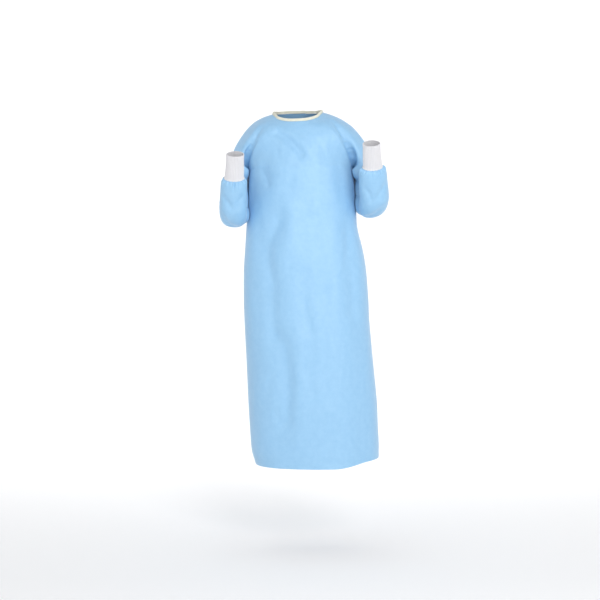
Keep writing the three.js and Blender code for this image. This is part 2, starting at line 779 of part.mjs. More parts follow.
addWall('front_panel', front, normalsOf(front), CLOTH_WALL, false, false, 'nonwoven');
addWall('right_back_panel', rightBack, normalsOf(rightBack), CLOTH_WALL, false, true, 'nonwoven');
addWall('left_back_panel', leftBack, normalsOf(leftBack), CLOTH_WALL, false, false, 'nonwoven');
for (const side of ['right', 'left']) {
  const grid = sleeves[side];
  const normals = normalsOf(grid);
  // A spot halfway between two seam points keeps to the straight edge between them
  for (let k = 1; k < RING; k += 2) {
    normals[0][k] = normals[0][k - 1].clone().add(normals[0][(k + 1) % RING]).multiplyScalar(0.5);
  }
  addWall(`${side}_sleeve`, grid, normals, CLOTH_WALL, true, side === 'left', 'nonwoven');
}
const bindingNormals = normalsOf(binding);
binding[0] = binding[0].map((p, k) => p.clone().lerp(binding[1][k], BINDING_LIFT / BINDING_WIDTH));
addWall('neck_binding', binding, bindingNormals, BINDING_WALL, false, false, 'binding');

// Knit cuffs: ribs stand out of the outer face over a plain inner face
function cuffGrids(side) {
  const arm = ARMS[side];
  const axes = armAxes(arm, arm.endAngle);
  const count = 2 * CUFF_RIBS;
  const rib = (k) => (k % 2 === 0 ? 0 : -RIB_DEPTH);
  const outer = [];
  const inner = [];
  for (const section of CUFF_SECTIONS) {
    const gap = mix(SEAM_GAP, 0, section.along);
    const centre = forearmCentre(arm, arm.forearmLength + gap + section.along * CUFF_LENGTH);
    const size = { across: section.across, deep: section.deep, power: 2 };
    const inside = { across: size.across - CUFF_WALL, deep: size.deep - CUFF_WALL, power: 2 };
    outer.push(armRing(centre, axes, size, rib, count));
    inner.push(armRing(centre, axes, inside, plain, count));
  }
  return { outer, inner };
}

for (const side of ['right', 'left']) {
  const { outer, inner } = cuffGrids(side);
  addPiece(`${side}_cuff`, wallGeometry(outer, inner, true, side === 'left'), 'knit');
}

// The outside of the back, where the left panel lies over the right one. Spots are found by row
// and x, and the way from one panel up to the other is a short ramp.
function spotOnLine(line, x) {
  const rising = line[line.length - 1].x > line[0].x ? 1 : -1;
  let i = 0;
  while (i < line.length - 2 && rising * (x - line[i + 1].x) > 0) i += 1;
  return line[i].clone().lerp(line[i + 1], (x - line[i].x) / (line[i + 1].x - line[i].x));
}

function spotOnPanel(panel, row, x) {
  const r = Math.min(Math.floor(row), panel.length - 2);
  return spotOnLine(panel[r], x).lerp(spotOnLine(panel[r + 1], x), row - r);
}

function lapEdge(row) {
  const r = Math.min(Math.floor(row), leftBack.length - 2);
  return mix(leftBack[r][BACK_COLUMNS].x, leftBack[r + 1][BACK_COLUMNS].x, row - r);
}

function outerSpot(row, x) {
  const edge = lapEdge(row);
  if (x >= edge) return spotOnPanel(leftBack, row, x);
  if (x <= edge - LAP_RAMP) return spotOnPanel(rightBack, row, x);
  const below = spotOnPanel(rightBack, row, edge - LAP_RAMP);
  return below.lerp(spotOnPanel(leftBack, row, edge), 1 - (edge - x) / LAP_RAMP);
}

function outerNormal(row, x) {
  const alongX = outerSpot(row, x + 6).sub(outerSpot(row, x - 6));
  const up = outerSpot(row + 0.1, x).sub(outerSpot(row - 0.1, x));
  return up.cross(alongX).normalize();
}

// A tape lies over the back: each station is a line of places across it, as rows and x
function addTape(name, stations) {
  const lifted = (lift) => stations.map((line) => line.map(({ row, x }) => (
    outerSpot(row, x).addScaledVector(outerNormal(row, x), lift)
  )));
  const outer = lifted(TAPE_STAND_OFF + TAPE_WALL);
  const inner = lifted(TAPE_STAND_OFF);
  const [a, b] = outer[0];
  const turn = b.clone().sub(a).cross(outer[1][0].clone().sub(a));
  addPiece(name, wallGeometry(outer, inner, false, turn.y < 0), 'tape');
}

const rowAt = (z) => ((z - HEM_Z) / (UNDERARM_Z - HEM_Z)) * BODY_ROWS;
const neckRow = BACK_ROWS.length - 1;
const ACROSS_TAPE = [-0.5, 0, 0.5];

const tabStations = [];
for (let i = 0; i <= 8; i += 1) {
  const x = mix(TAB.from, TAB.to, i / 8);
  tabStations.push(ACROSS_TAPE.map((w) => ({ row: neckRow - mix(TAB.lower, TAB.upper, w + 0.5), x })));
}
addTape('neck_tab', tabStations);

for (const side of ['right', 'left']) {
  const sign = ARMS[side].sign;
  const knotSide = KNOT_CENTRE_X + sign * (KNOT_HALF.x + SEAM_GAP);
  const tie = [];
  for (let i = 0; i <= TIE_STATIONS; i += 1) {
    const share = i / TIE_STATIONS;
    const z = TIE_Z - TIE_DROP * share;
    const width = mix(TIE_WIDTH.side, TIE_WIDTH.knot, share);
    const x = mix(TIE_STARTS[side], knotSide, share);
    tie.push(ACROSS_TAPE.map((w) => ({ row: rowAt(z + w * width), x })));
  }
  addTape(`${side}_tie`, tie);

  const tail = TAILS[side];
  const topZ = TIE_Z - TIE_DROP - KNOT_HALF.z - SEAM_GAP;
  const hanging = [];
  for (let i = 0; i <= TAIL_STATIONS; i += 1) {
    const share = i / TAIL_STATIONS;
    const centre = mix(tail.top, tail.bottom, share);
    const width = mix(0.75, 1, smooth(0, 0.4, share)) * tail.width;
    hanging.push(ACROSS_TAPE.map((w) => ({
      row: rowAt(topZ - tail.length * share + 2 * w * tail.slant * share),
      x: centre + w * width,
    })));
  }
  addTape(`${side}_tail`, hanging);
}

// Knot: a soft block between the ends of the ties and above the tails
function knotGeometry() {
  const row = rowAt(TIE_Z - TIE_DROP);
  const centre = outerSpot(row, KNOT_CENTRE_X);
  centre.addScaledVector(outerNormal(row, KNOT_CENTRE_X), TAPE_STAND_OFF + KNOT_HALF.y);
  const ball = new THREE.SphereGeometry(1, 16, 10);
  ball.deleteAttribute('normal');
  ball.deleteAttribute('uv');
  const geometry = mergeVertices(ball, 1e-4);
  const spots = geometry.attributes.position;
  for (let i = 0; i < spots.count; i += 1) {
    const p = vec().fromBufferAttribute(spots, i);
    const norm = Math.pow(Math.abs(p.x) ** 4 + Math.abs(p.y) ** 4 + Math.abs(p.z) ** 4, 0.25);
    p.multiplyScalar(1 / norm);
    spots.setXYZ(i, centre.x + p.x * KNOT_HALF.x, centre.y + p.y * KNOT_HALF.y, centre.z + p.z * KNOT_HALF.z);
  }
  return geometry;
}
addPiece('tie_knot', knotGeometry(), 'tape');

export default group;
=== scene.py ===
# %% [markdown]
# # A surgical gown
# The gown is worn and closed at the back, with both forearms raised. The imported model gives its
# solids, and this file dresses each of them: cloth shells a good deal finer than the solids,
# with their creases, seams and gathers, and the finishes of the cloth, the knit and the tapes.
# The frame is loaded first, because every piece has to lie where its solid lies.

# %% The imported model
import json
import math

import bpy
import numpy as np
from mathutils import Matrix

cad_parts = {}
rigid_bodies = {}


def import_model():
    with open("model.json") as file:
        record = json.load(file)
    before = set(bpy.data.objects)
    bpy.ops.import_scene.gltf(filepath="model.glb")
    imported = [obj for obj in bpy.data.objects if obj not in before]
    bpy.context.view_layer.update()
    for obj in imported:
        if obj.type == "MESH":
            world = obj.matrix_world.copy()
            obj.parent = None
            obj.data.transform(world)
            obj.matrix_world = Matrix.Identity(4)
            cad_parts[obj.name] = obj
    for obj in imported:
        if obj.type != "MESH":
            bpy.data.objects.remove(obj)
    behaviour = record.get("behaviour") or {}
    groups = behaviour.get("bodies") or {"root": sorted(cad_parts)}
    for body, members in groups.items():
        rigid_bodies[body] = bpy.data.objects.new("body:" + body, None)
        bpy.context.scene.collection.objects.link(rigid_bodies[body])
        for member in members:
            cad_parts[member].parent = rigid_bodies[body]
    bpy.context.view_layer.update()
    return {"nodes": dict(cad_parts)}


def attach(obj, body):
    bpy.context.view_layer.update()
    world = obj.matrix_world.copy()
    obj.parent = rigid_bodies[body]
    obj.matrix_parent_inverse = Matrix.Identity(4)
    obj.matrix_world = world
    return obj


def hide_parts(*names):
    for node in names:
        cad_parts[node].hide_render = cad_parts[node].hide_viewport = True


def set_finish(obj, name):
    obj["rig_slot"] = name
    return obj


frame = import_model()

print("nodes:", sorted(frame["nodes"]))

# %% [markdown]
# ## Camera
# The photograph is taken level, from straight in front at the height of the gown's middle. One
# pixel covers 3.36 mm in the plane of the side seams. A camera needs no modelling: it is put at
# its place, and the lens follows from how much it sees at that distance.

# %% Camera
MM = 0.001
PHOTO_PIXELS = 600
PIXEL = 3.36 * MM
CAMERA_PLACE = (8.4 * MM, -3700 * MM, -638 * MM)
SENSOR = 36.0

bpy.ops.object.camera_add(location=CAMERA_PLACE, rotation=(math.radians(90), 0, 0))
camera = bpy.context.object
camera.name = "photo_camera"
camera.data.sensor_width = SENSOR
camera.data.lens = SENSOR * abs(CAMERA_PLACE[1]) / (PHOTO_PIXELS * PIXEL)
camera.data.dof.use_dof = False
bpy.context.scene.camera = camera
print("lens", round(camera.data.lens, 2), "mm")

# %% [markdown]
# ## The gown's cut, in tables
# A worn gown could be draped by simulation over a body, but nothing then says that it comes out
# as the photograph shows it. It is worked out from sections instead, as a pattern maker would:
# how far the cloth reaches to each side at each height, where the raglan seams run, and how the
# arms bend. These are the sizes that the solids were made from, in millimetres. Right and left
# are the wearer's, the front faces -Y, and the origin is at the base of the neck.

# %% Body sizes
CLOTH = 0.6
HEM_Z = -1184
UNDERARM_Z = -205
SIDE_SEAM_Y = 2
LEFT_HEM_LIFT = 22
LEFT_HEM_LIFT_FADE = 260
SECTION_POWER = 2.35

# z, right, left, front, back
BODY_SECTIONS = np.array([
    (-1184, -140, 272, -158, 150),
    (-1142, -153, 273, -157, 149),
    (-1075, -159, 270, -156, 148),
    (-974, -165, 266, -154, 146),
    (-840, -171, 253, -151, 143),
    (-705, -178, 241, -148, 140),
    (-638, -180, 238, -146, 137),
    (-537, -180, 230, -143, 132),
    (-470, -176, 219, -140, 127),
    (-389, -171, 200, -136, 123),
    (-300, -165, 197, -132, 123),
    (-205, -163, 184, -128, 125),
], float)
RIGHT, LEFT, FRONT, BACK = range(1, 5)

# Raglan seams from the underarm up to the neck edge, and the neck edge over each shoulder
RAGLAN = {
    ("right", "front"): [(-163, 2, -205), (-159, -44, -178), (-141, -78, -142),
                         (-117, -92, -104), (-92, -82, -70), (-67, -54, -39)],
    ("right", "back"): [(-163, 2, -205), (-160, 50, -172), (-143, 86, -130),
                        (-118, 99, -86), (-92, 84, -42), (-66, 52, -6)],
    ("right", "neck"): [(-67, -54, -39), (-80, -27, -23), (-85, 2, -14),
                        (-80, 29, -9), (-66, 52, -6)],
    ("left", "front"): [(184, 2, -205), (174, -44, -176), (154, -78, -138),
                        (127, -92, -98), (98, -82, -62), (68, -54, -33)],
    ("left", "back"): [(184, 2, -205), (174, 50, -170), (154, 86, -126),
                       (127, 99, -80), (97, 84, -35), (67, 52, -3)],
    ("left", "neck"): [(68, -54, -33), (81, -27, -16), (86, 2, -7),
                       (81, 29, -4), (67, 52, -3)],
}

# Middle line of the yoke: share of the way up, reach, and how far it lies above the seams
YOKE = {
    "front": np.array([(0, -128, 0), (0.25, -124, 0), (0.5, -114, 0),
                       (0.75, -100, -8), (1, -84, -15)], float),
    "back": np.array([(0, 125, 0), (0.25, 124, 0), (0.5, 119, 0),
                      (0.75, 103, 4), (1, 74, 4)], float),
}

DIP_POWER = 2.5

# How far each back panel runs past the middle, against the half width there
BACK_LAP = np.array([(-1184, 0.56), (-700, 0.5), (-205, 0.43), (0, 0.43)], float)
# Way to its own side, and how far its edge past the middle steps out: the left panel is on top
BACK_SIDES = {"right": (-1, -6), "left": (1, 1)}

# The hem is turned up once and bonded, so the cloth is thicker there
HEM_WIDTH = 12
HEM_STEP = 0.5
print("from the hem up to the underarm", UNDERARM_Z - HEM_Z, "mm")

# %% [markdown]
# ## Reading the tables
# Between its rows a table is read along a smooth curve, so that forty rows of cloth can come from
# a dozen sizes. A seam is a smooth curve through its points, cut into even steps.

# %% Curves
CURVE_STEPS = 40


def ease(low, high, value):
    """0 at low, 1 at high, and smooth between them."""
    t = np.clip((np.asarray(value, float) - low) / (high - low), 0, 1)
    return t * t * (3 - 2 * t)


def mix(a, b, t):
    return a + (b - a) * t


def unit(v):
    v = np.asarray(v, float)
    return v / np.maximum(np.linalg.norm(v, axis=-1, keepdims=True), 1e-9)


def hermite(a, b, leave, arrive, t):
    """From a at 0 to b at 1, leaving and arriving with these slopes."""
    return ((2 * t**3 - 3 * t**2 + 1) * a + (t**3 - 2 * t**2 + t) * leave
            + (3 * t**2 - 2 * t**3) * b + (t**3 - t**2) * arrive)


def read(table, at, column):
    """A column of a table at one key or several, on a smooth curve through all its rows."""
    keys, values = table[:, 0], table[:, column]
    last = len(keys) - 1
    i = np.clip(np.searchsorted(keys, at, side="left") - 1, 0, last - 1)
    before, after = np.maximum(i - 1, 0), np.minimum(i + 2, last)
    span = keys[i + 1] - keys[i]
    leave = (values[i + 1] - values[before]) / (keys[i + 1] - keys[before])
    arrive = (values[after] - values[i]) / (keys[after] - keys[i])
    t = np.clip((at - keys[i]) / span, 0, 1)
    return hermite(values[i], values[i + 1], leave * span, arrive * span, t)


def run_along(line):
    """How far along a line each of its points lies."""
    return np.concatenate([[0], np.cumsum(np.linalg.norm(np.diff(line, axis=0), axis=1))])


def read_along(run, values, at):
    """Values of a line's points, read at other places along it."""
    return np.stack([np.interp(at, run, values[:, k]) for k in range(3)], axis=1)


def seam_line(points, steps):
    """A centripetal curve through the points, cut into even steps."""
    p = np.array(points, float)
    p = np.vstack([2 * p[0] - p[1], p, 2 * p[-1] - p[-2]])
    line = [p[1]]
    for q0, q1, q2, q3 in zip(p, p[1:], p[2:], p[3:]):
        d0, d1, d2 = (math.sqrt(np.linalg.norm(b - a)) for a, b in ((q0, q1), (q1, q2), (q2, q3)))
        leave = ((q1 - q0) / d0 - (q2 - q0) / (d0 + d1) + (q2 - q1) / d1) * d1
        arrive = ((q2 - q1) / d1 - (q3 - q1) / (d1 + d2) + (q3 - q2) / d2) * d1
        line += [hermite(q1, q2, leave, arrive, t) for t in np.linspace(0, 1, CURVE_STEPS + 1)[1:]]
    run = run_along(line)
    return read_along(run, np.array(line), np.linspace(0, run[-1], steps + 1))


print("right side at the waist", round(read(BODY_SECTIONS, -560, RIGHT), 1), "mm")

# %% [markdown]
# ## Creases of the body
# Thin nonwoven cloth hangs in long soft troughs with rounder ridges between them. Simulated cloth
# would put them anywhere, so each one is placed one by one: a path down the front or the back as x
# and z, its width, and its depth, negative for a ridge. The large ones are in the solids too. The
# fine ones are here alone: the crumples under the chest, the drag lines below the neck and the
# small dents in the skirt. The ones at the back are of the same kind, because the back is hidden.

# %% Creases
# width, depth, then x and z of each spot of the path
FRONT_FOLDS = [
    (34, 7, -62, -370, -100, -470, -88, -600, -78, -750),
    (36, 7, -70, -780, -44, -860, -40, -1000, -58, -1100), (30, -5, 6, -760, 2, -1010),
    (26, 6, 168, -400, 176, -520, 182, -680), (30, 5, 215, -760, 222, -1184),
    (26, 3, 20, -560, 30, -700, 34, -860), (17, 4, -72, -92, -36, -106, 0, -142, 8, -172),
    (20, 5, -112, -208, -100, -250), (22, 4, 140, -190, 150, -300),
]
BACK_FOLDS = [
    (34, 7, 70, -330, 96, -520, 110, -760), (38, 8, 150, -700, 168, -1184),
    (32, 6, -90, -360, -104, -600, -96, -860), (34, 7, -60, -900, -66, -1184),
    (30, -5, 30, -600, 44, -980), (24, 4, 60, -120, 20, -200), (24, 4, -70, -130, -40, -240),
]
FINE_FRONT_FOLDS = [
    (21, 5.2, -63, -385, -102, -460, -105, -508, -82, -589, -89, -638, -86, -696, -79, -751),
    (21, 4.6, -44, -778, -34, -832, -30, -962, -34, -1040),
    (28, 5, -128, -400, -150, -520, -140, -640), (28, -4, -30, -330, -34, -420, -56, -520),
    (28, 3.8, 60, -380, 78, -500, 84, -620), (12, 5.4, -78, -90, -40, -111, -14, -133, 14, -162),
    (13, -2.6, -30, -88, 6, -114, 32, -144), (9, 1.2, -90, -120, -66, -150, -52, -196),
    (10, 1, 60, -110, 88, -150, 96, -190), (8, 1.8, -118, -215, -104, -240, -98, -262),
    (13, 2.6, 24, -636, 30, -694, 40, -736), (13, 2.4, 30, -850, 34, -906, 54, -948),
    (13, 2.2, -90, -896, -96, -936, -108, -960), (12, 2, -74, -1000, -56, -1044),
    (12, 1.2, 150, -1040, 156, -1090), (10, 1, -4, -1140, -2, -1160),
    (13, 2.6, 164, -420, 168, -470, 160, -520, 150, -560), (10, 1.2, 130, -488, 132, -540),
    (12, 1.6, -140, -300, -128, -380, -132, -460), (14, 0.9, -20, -250, -60, -290, -96, -300),
    (14, 0.9, 60, -300, 110, -330, 150, -330), (18, 2.6, -130, -640, -136, -820),
    (24, 3, 90, -620, 100, -820, 104, -960), (17, 3.4, 178, -410, 184, -520, 190, -700),
    (18, -1.4, -12, -420, -8, -520),
]
FINE_BACK_FOLDS = [
    (10, 1.4, 110, -120, 80, -180, 72, -240), (10, 1.4, -100, -120, -84, -180, -80, -250),
    (9, 1.6, 40, -395, 44, -340, 60, -290), (9, 1.6, -30, -395, -40, -330, -60, -280),
    (9, 1.4, 80, -400, 92, -350), (9, 1.4, -80, -396, -92, -340),
    (10, 1.6, 48, -470, 56, -560, 60, -640), (10, 1.6, -24, -470, -36, -560, -44, -650),
    (12, 1.4, 130, -470, 138, -560), (12, 1.4, -120, -470, -128, -580),
    (14, 1.4, 10, -900, 16, -1040), (14, 1.4, 110, -960, 120, -1080),
    (14, 1.4, -120, -900, -124, -1020),
]


def fold_depth(folds, x, z):
    """How far the folds draw the cloth in at each spot of the front or the back."""
    depth = np.zeros_like(x)
    for width, deep, *path in folds:
        nearest = np.full_like(x, np.inf)
        for ax, az, bx, bz in zip(path[::2], path[1::2], path[2::2], path[3::2]):
            dx, dz = bx - ax, bz - az
            t = np.clip(((x - ax) * dx + (z - az) * dz) / (dx * dx + dz * dz), 0, 1)
            nearest = np.minimum(nearest, np.hypot(x - ax - dx * t, z - az - dz * t))
        depth += deep * np.exp(-((nearest / width) ** 2))
    return depth


print("creases in front", len(FRONT_FOLDS + FINE_FRONT_FOLDS))

# %% [markdown]
# ## Body panels
# The front is one piece and the back is two, the left one lapping over the right one. Each is a
# grid of points: rows from the hem to the underarm and on up the raglan seams to the neck, and
# columns from one seam to the next. Below the underarm a row is a rounded square section. Above
# it, a row is a flatter arch between the two raglan seams.

# %% Body grids
# Share of the yoke by which its rows are flat arches, and of a row by which its folds are full
FLAT_BY, FOLDS_FULL_BY = 0.45, 0.35


def body_rows(face, heights, yoke_rows):
    """The two ends, the middle's reach, its rise and how flat an arch each row is."""
    up, none = np.linspace(0, 1, yoke_rows + 1)[1:], np.zeros(len(heights))
    right, left = (np.vstack([np.stack([read(BODY_SECTIONS, heights, edge), none + SIDE_SEAM_Y,
                                        heights], axis=1),
                              seam_line(RAGLAN[side, face], yoke_rows)[1:]])
                   for side, edge in (("right", RIGHT), ("left", LEFT)))
    sections = read(BODY_SECTIONS, heights, FRONT if face == "front" else BACK)
    reach = np.concatenate([sections, read(YOKE[face], up, 1)])
    rise = np.concatenate([none, read(YOKE[face], up, 2)])
    return right, left, reach, rise, np.concatenate([none, ease(0, FLAT_BY, up)])


def body_grid(rows, across, folds, lift):
    """Points of the body, in millimetres. across is -1 at the right seam and 1 at the left one."""
    right, left, reach, rise, flat = (r[:, None] for r in rows)
    across = np.broadcast_to(across, (len(reach), across.shape[-1]))
    outline = np.maximum(1 - np.abs(across) ** SECTION_POWER, 0) ** (1 / SECTION_POWER)
    bulge = mix(outline, 1 - across**2, flat)
    p = mix(right, left, ((1 + across) / 2)[..., None])
    p[..., 1] += (reach - (right[..., 1] + left[..., 1]) / 2) * bulge
    p[..., 2] += rise * (1 - np.abs(across) ** DIP_POWER)
    out = unit(np.stack([across * 0.8, np.sign(reach) * np.maximum(bulge, 0.05),
                         np.zeros_like(across)], axis=-1))
    inset = fold_depth(folds, p[..., 0], p[..., 2]) * ease(0, FOLDS_FULL_BY, 1 - np.abs(across))
    near_hem = ease(HEM_Z + LEFT_HEM_LIFT_FADE, HEM_Z, p[..., 2])
    turned_hem = HEM_STEP * (p[..., 2] < HEM_Z + HEM_WIDTH)
    p = p + out * (lift + turned_hem - inset)[..., None]
    p[..., 2] += LEFT_HEM_LIFT * near_hem * ease(0.25, 1, across)
    return p


def across_at(share):
    """Columns spaced evenly round the section."""
    c = np.cos(np.pi * (1 - np.asarray(share, float)))
    return np.sign(c) * np.abs(c) ** (2 / SECTION_POWER)


def front_grid(columns, heights, yoke_rows, folds):
    across = across_at(np.linspace(0, 1, columns + 1))[None, :]
    return body_grid(body_rows("front", heights, yoke_rows), across, folds, np.zeros_like(across))


def back_grids(columns, heights, yoke_rows, folds):
    """Both back panels, each from its side seam to its edge past the middle."""
    rows = body_rows("back", heights, yoke_rows)
    past = read(BACK_LAP, rows[0][:, 2], 1)
    end = np.arccos(-(past ** (SECTION_POWER / 2))) / np.pi
    from_seam = across_at(np.linspace(0, 1, columns + 1)[None, :] * end[:, None])
    return {side: body_grid(rows, -sign * from_seam, folds, step * ease(-0.9, -0.45, from_seam))
            for side, (sign, step) in BACK_SIDES.items()}


# Steps of the solids, and how many finer steps the shells have in each of them
ROWS, YOKE_ROWS, FRONT_COLUMNS, BACK_COLUMNS, NECK_STEPS = 14, 7, 18, 12, 4
FINE_ROW, FINE_YOKE, FINE_COLUMN, FINE_RING = 10, 6, 8, 3

plain_rows = (np.linspace(HEM_Z, UNDERARM_Z, ROWS + 1), YOKE_ROWS)
plain_front = front_grid(FRONT_COLUMNS, *plain_rows, FRONT_FOLDS)
plain_backs = back_grids(BACK_COLUMNS, *plain_rows, BACK_FOLDS)

hem_heights = HEM_Z + np.array([0, 1.6, 6, HEM_WIDTH - 0.8, HEM_WIDTH + 0.8])
fine_heights = np.linspace(HEM_Z + HEM_WIDTH + 7, UNDERARM_Z, ROWS * FINE_ROW)
fine_rows = (np.concatenate([hem_heights, fine_heights]), YOKE_ROWS * FINE_YOKE)
front_points = front_grid(FRONT_COLUMNS * FINE_COLUMN, *fine_rows, FRONT_FOLDS + FINE_FRONT_FOLDS)
back_points = back_grids(BACK_COLUMNS * FINE_COLUMN, *fine_rows, BACK_FOLDS + FINE_BACK_FOLDS)
print("front panel grid", front_points.shape, "back panel grid", back_points["left"].shape)

# %% [markdown]
# ### Crumples
# Papery cloth keeps shallow crumples all over. They are slow waves through the room in made-up
# directions, each bent by the one before it. They die out at the seams, which hold the cloth flat.

# %% Crumples
CRUMPLE_LENGTHS = np.geomspace(42, 190, 14)
CRUMPLE_SIZE = 0.42
CRUMPLE_BEND = 0.9
# Crumples of the body are that much longer down the gown
BODY_STRETCH = 2.4

draw = np.random.default_rng(11)
CRUMPLES = [(draw.normal(size=3), length, draw.uniform(0, 6.28)) for length in CRUMPLE_LENGTHS]


def crumple(p, stretch):
    """How far the crumples lift each point."""
    lift = np.zeros(p.shape[:-1])
    bend = 0
    for way, length, start in CRUMPLES:
        wave = (p * (1, 1, 1 / stretch)) @ unit(way) * 2 * np.pi / length + start + CRUMPLE_BEND * bend
        bend = np.sin(wave)
        lift += bend * (length / CRUMPLE_LENGTHS[-1]) ** 0.8
    return lift * CRUMPLE_SIZE


def open_edge(share, margin=0.06):
    """0 at both ends of a row or column, and 1 inside."""
    return ease(0, margin, share) * ease(1, 1 - margin, share)


def crumpled_body(grid, face):
    rows, columns = grid.shape[:2]
    below_neck = ease(0, 0.04, np.linspace(1, 0, rows))[:, None]
    lift = crumple(grid, BODY_STRETCH) * open_edge(np.linspace(0, 1, columns))[None, :] * below_neck
    return grid + np.stack([lift * 0, lift * face, lift * 0], axis=-1)


front_points = crumpled_body(front_points, -1)
back_points = {side: crumpled_body(grid, 1) for side, grid in back_points.items()}
print("crumples", len(CRUMPLES), "the front reaches y", round(front_points[..., 1].min(), 1), "mm")

# %% [markdown]
# ## From a grid to a piece of cloth
# A cloth piece starts as one layer of faces between its grid points and gets its thickness from
# Solidify, with the grid as the outer face. Its UV map, called cut, holds real metres along and
# across the cloth, so that the bonding pattern keeps its true size. An attribute called to_seam
# holds the distance to the nearest sewn edge, for the seam's line in the finish.

# %% Cloth helper
SEAM_ALLOWANCE = 5
SHARP_EDGE = math.radians(50)


def select_only(piece):
    bpy.ops.object.select_all(action="DESELECT")
    piece.select_set(True)
    bpy.context.view_layer.objects.active = piece


def run_lengths(grid, axis):
    """How far along its row or column each point lies, in metres."""
    steps = np.linalg.norm(np.diff(grid, axis=axis), axis=-1)
    start = np.zeros_like(np.take(steps, [0], axis=axis))
    return np.concatenate([start, np.cumsum(steps, axis=axis)], axis=axis) * MM


def grid_object(name, grid, cut, flip=False, ends=False):
    """Quads between the grid's points, closed round where cut has one more column than it."""
    rows, columns = grid.shape[:2]
    quads = [[(r, c), (r, c + 1), (r + 1, c + 1), (r + 1, c)]
             for r in range(rows - 1) for c in range(cut.shape[1] - 1)]
    if ends:
        quads += [[(0, c) for c in reversed(range(columns))], [(rows - 1, c) for c in range(columns)]]
    if flip:
        quads = [quad[::-1] for quad in quads]
    faces = [[r * columns + c % columns for r, c in quad] for quad in quads]
    corners = np.array([corner for quad in quads for corner in quad])
    mesh = bpy.data.meshes.new(name)
    mesh.from_pydata((grid.reshape(-1, 3) * MM).tolist(), [], faces)
    uv = mesh.uv_layers.new(name="cut")
    uv.data.foreach_set("uv", cut[corners[:, 0], corners[:, 1]].astype(np.float32).ravel())
    piece = bpy.data.objects.new(name, mesh)
    bpy.context.scene.collection.objects.link(piece)
    select_only(piece)
    return piece


def place(piece, node, slot):
    """Puts a finished piece in its node's place, on the one body."""
    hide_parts(node)
    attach(piece, "root")
    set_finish(piece, slot)


def cloth_piece(name, node, grid, slot="cloth", thickness=CLOTH, sewn="", closed=False,
                flip=False):
    """Cloth on a grid of points in millimetres, in its node's place. sewn names its sewn edges."""
    wide = np.concatenate([grid, grid[:, :1]], axis=1) if closed else grid
    across, along = run_lengths(wide, 1), run_lengths(wide, 0)
    from_middle = across - across[:, -1:] / 2
    # A slanting column is longer than the cloth's straight length, so the slant is taken out
    step, slant = np.diff(along, axis=0), np.diff(from_middle, axis=0)
    straight = np.sqrt(np.maximum(step**2 - slant**2, (0.2 * step) ** 2))
    down = np.concatenate([along[:1], np.cumsum(straight, axis=0)])
    piece = grid_object(name, grid, np.stack([from_middle, down], axis=-1), flip)
    from_edge = {"start": across, "end": across[:, -1:] - across, "bottom": along,
                 "top": along[-1:] - along, "hem": along - (HEM_WIDTH - SEAM_ALLOWANCE) * MM}
    far = np.minimum.reduce([np.ones_like(along)] + [from_edge[edge] for edge in sewn.split()])
    seam = piece.data.attributes.new("to_seam", "FLOAT", "POINT")
    seam.data.foreach_set("value", far[:, :grid.shape[1]].astype(np.float32).ravel())
    wall = piece.modifiers.new("wall", "SOLIDIFY")
    wall.thickness = thickness * MM
    wall.offset = -1.0
    bpy.ops.object.modifier_apply(modifier=wall.name)
    bpy.ops.object.shade_smooth_by_angle(angle=SHARP_EDGE)
    place(piece, node, slot)


# %% Front and back panels
for name, node, grid, flip in (("front_cloth", "front_panel", front_points, False),
                               ("right_back_cloth", "right_back_panel", back_points["right"], True),
                               ("left_back_cloth", "left_back_panel", back_points["left"], False)):
    cloth_piece(name, node, grid, flip=flip, sewn="start end hem")

# %% [markdown]
# ## Sleeves
# A raglan sleeve runs up to the neck, so it starts on a ring made of the two raglan seams and the
# neck edge. From there it goes over the shoulder and down to the elbow on curves that leave the
# seam in the body's own direction. The elbow is a fan of rings round its inner crease, and the
# forearm narrows to the cuff. Bending a straight tube with an armature would pinch the elbow, and
# rings round a crease don't.

# %% Sleeve sizes
ARMS = {
    "right": dict(sign=-1, crease=(-214, -75, -304), crease_radius=5, start=5, end=146, roll=4,
                  across=45, deep=45, shift=4, forearm=101, wrist_shift=14, slope=-0.3, out=0.22),
    "left": dict(sign=1, crease=(245, -75, -268), crease_radius=5, start=5, end=142, roll=10,
                 across=48, deep=47, shift=5, forearm=110, wrist_shift=-17, slope=-0.24, out=0.3),
}
SLEEVE_POWER = 2.3
INNER_FULLNESS, OUTER_FULLNESS = 0.95, 1.2
ELBOW_STEPS = 8
SHOULDER_STEPS = (0, 0.09, 0.2, 0.34, 0.5, 0.67, 0.84)
SMOOTHING = 6
# The sleeve's way out at the underarm, and how strongly the spots above it follow that
UNDERARM_SLOPE, UNDERARM_PULL = -0.15, 1.6
RING = 2 * (2 * YOKE_ROWS + NECK_STEPS)

# The upper arm hangs fuller behind, against the body: spot of the ring, and its way in and back.
# Each ring from the raglan seam on takes its share of that.
HANGS_FROM = 19
HANGING = np.array([
    (0, 0, 0), (HANGS_FROM, 0, 0), (23, 0, 12), (26, 0, 22), (28, 6, 27), (30, 16, 31),
    (31, 17, 32), (32, 13, 33), (33, 5.5, 26), (34, 2, 16), (35, 0.4, 8), (36, 0, 2),
], float)
HANGING_SHARES = (0, 0.1, 0.35, 0.65, 0.85, 0.95, 1, 1, 0.95, 0.75, 0.45, 0.15)

# Forearm, then cuff: share of the length, half width across and deep. The forearm's are against
# the elbow's, and the cuff's are in millimetres.
FOREARM = [(0.25, 0.98, 0.93), (0.5, 0.96, 0.86), (0.7, 0.95, 0.8), (0.85, 0.92, 0.74),
           (0.94, 0.85, 0.66)]
CUFF = np.array([(0, 31.5, 23), (0.35, 30, 22), (0.8, 28.5, 21), (1, 29, 21.5)], float)
CUFF_LENGTH = 86
print("spots round a sleeve", RING)


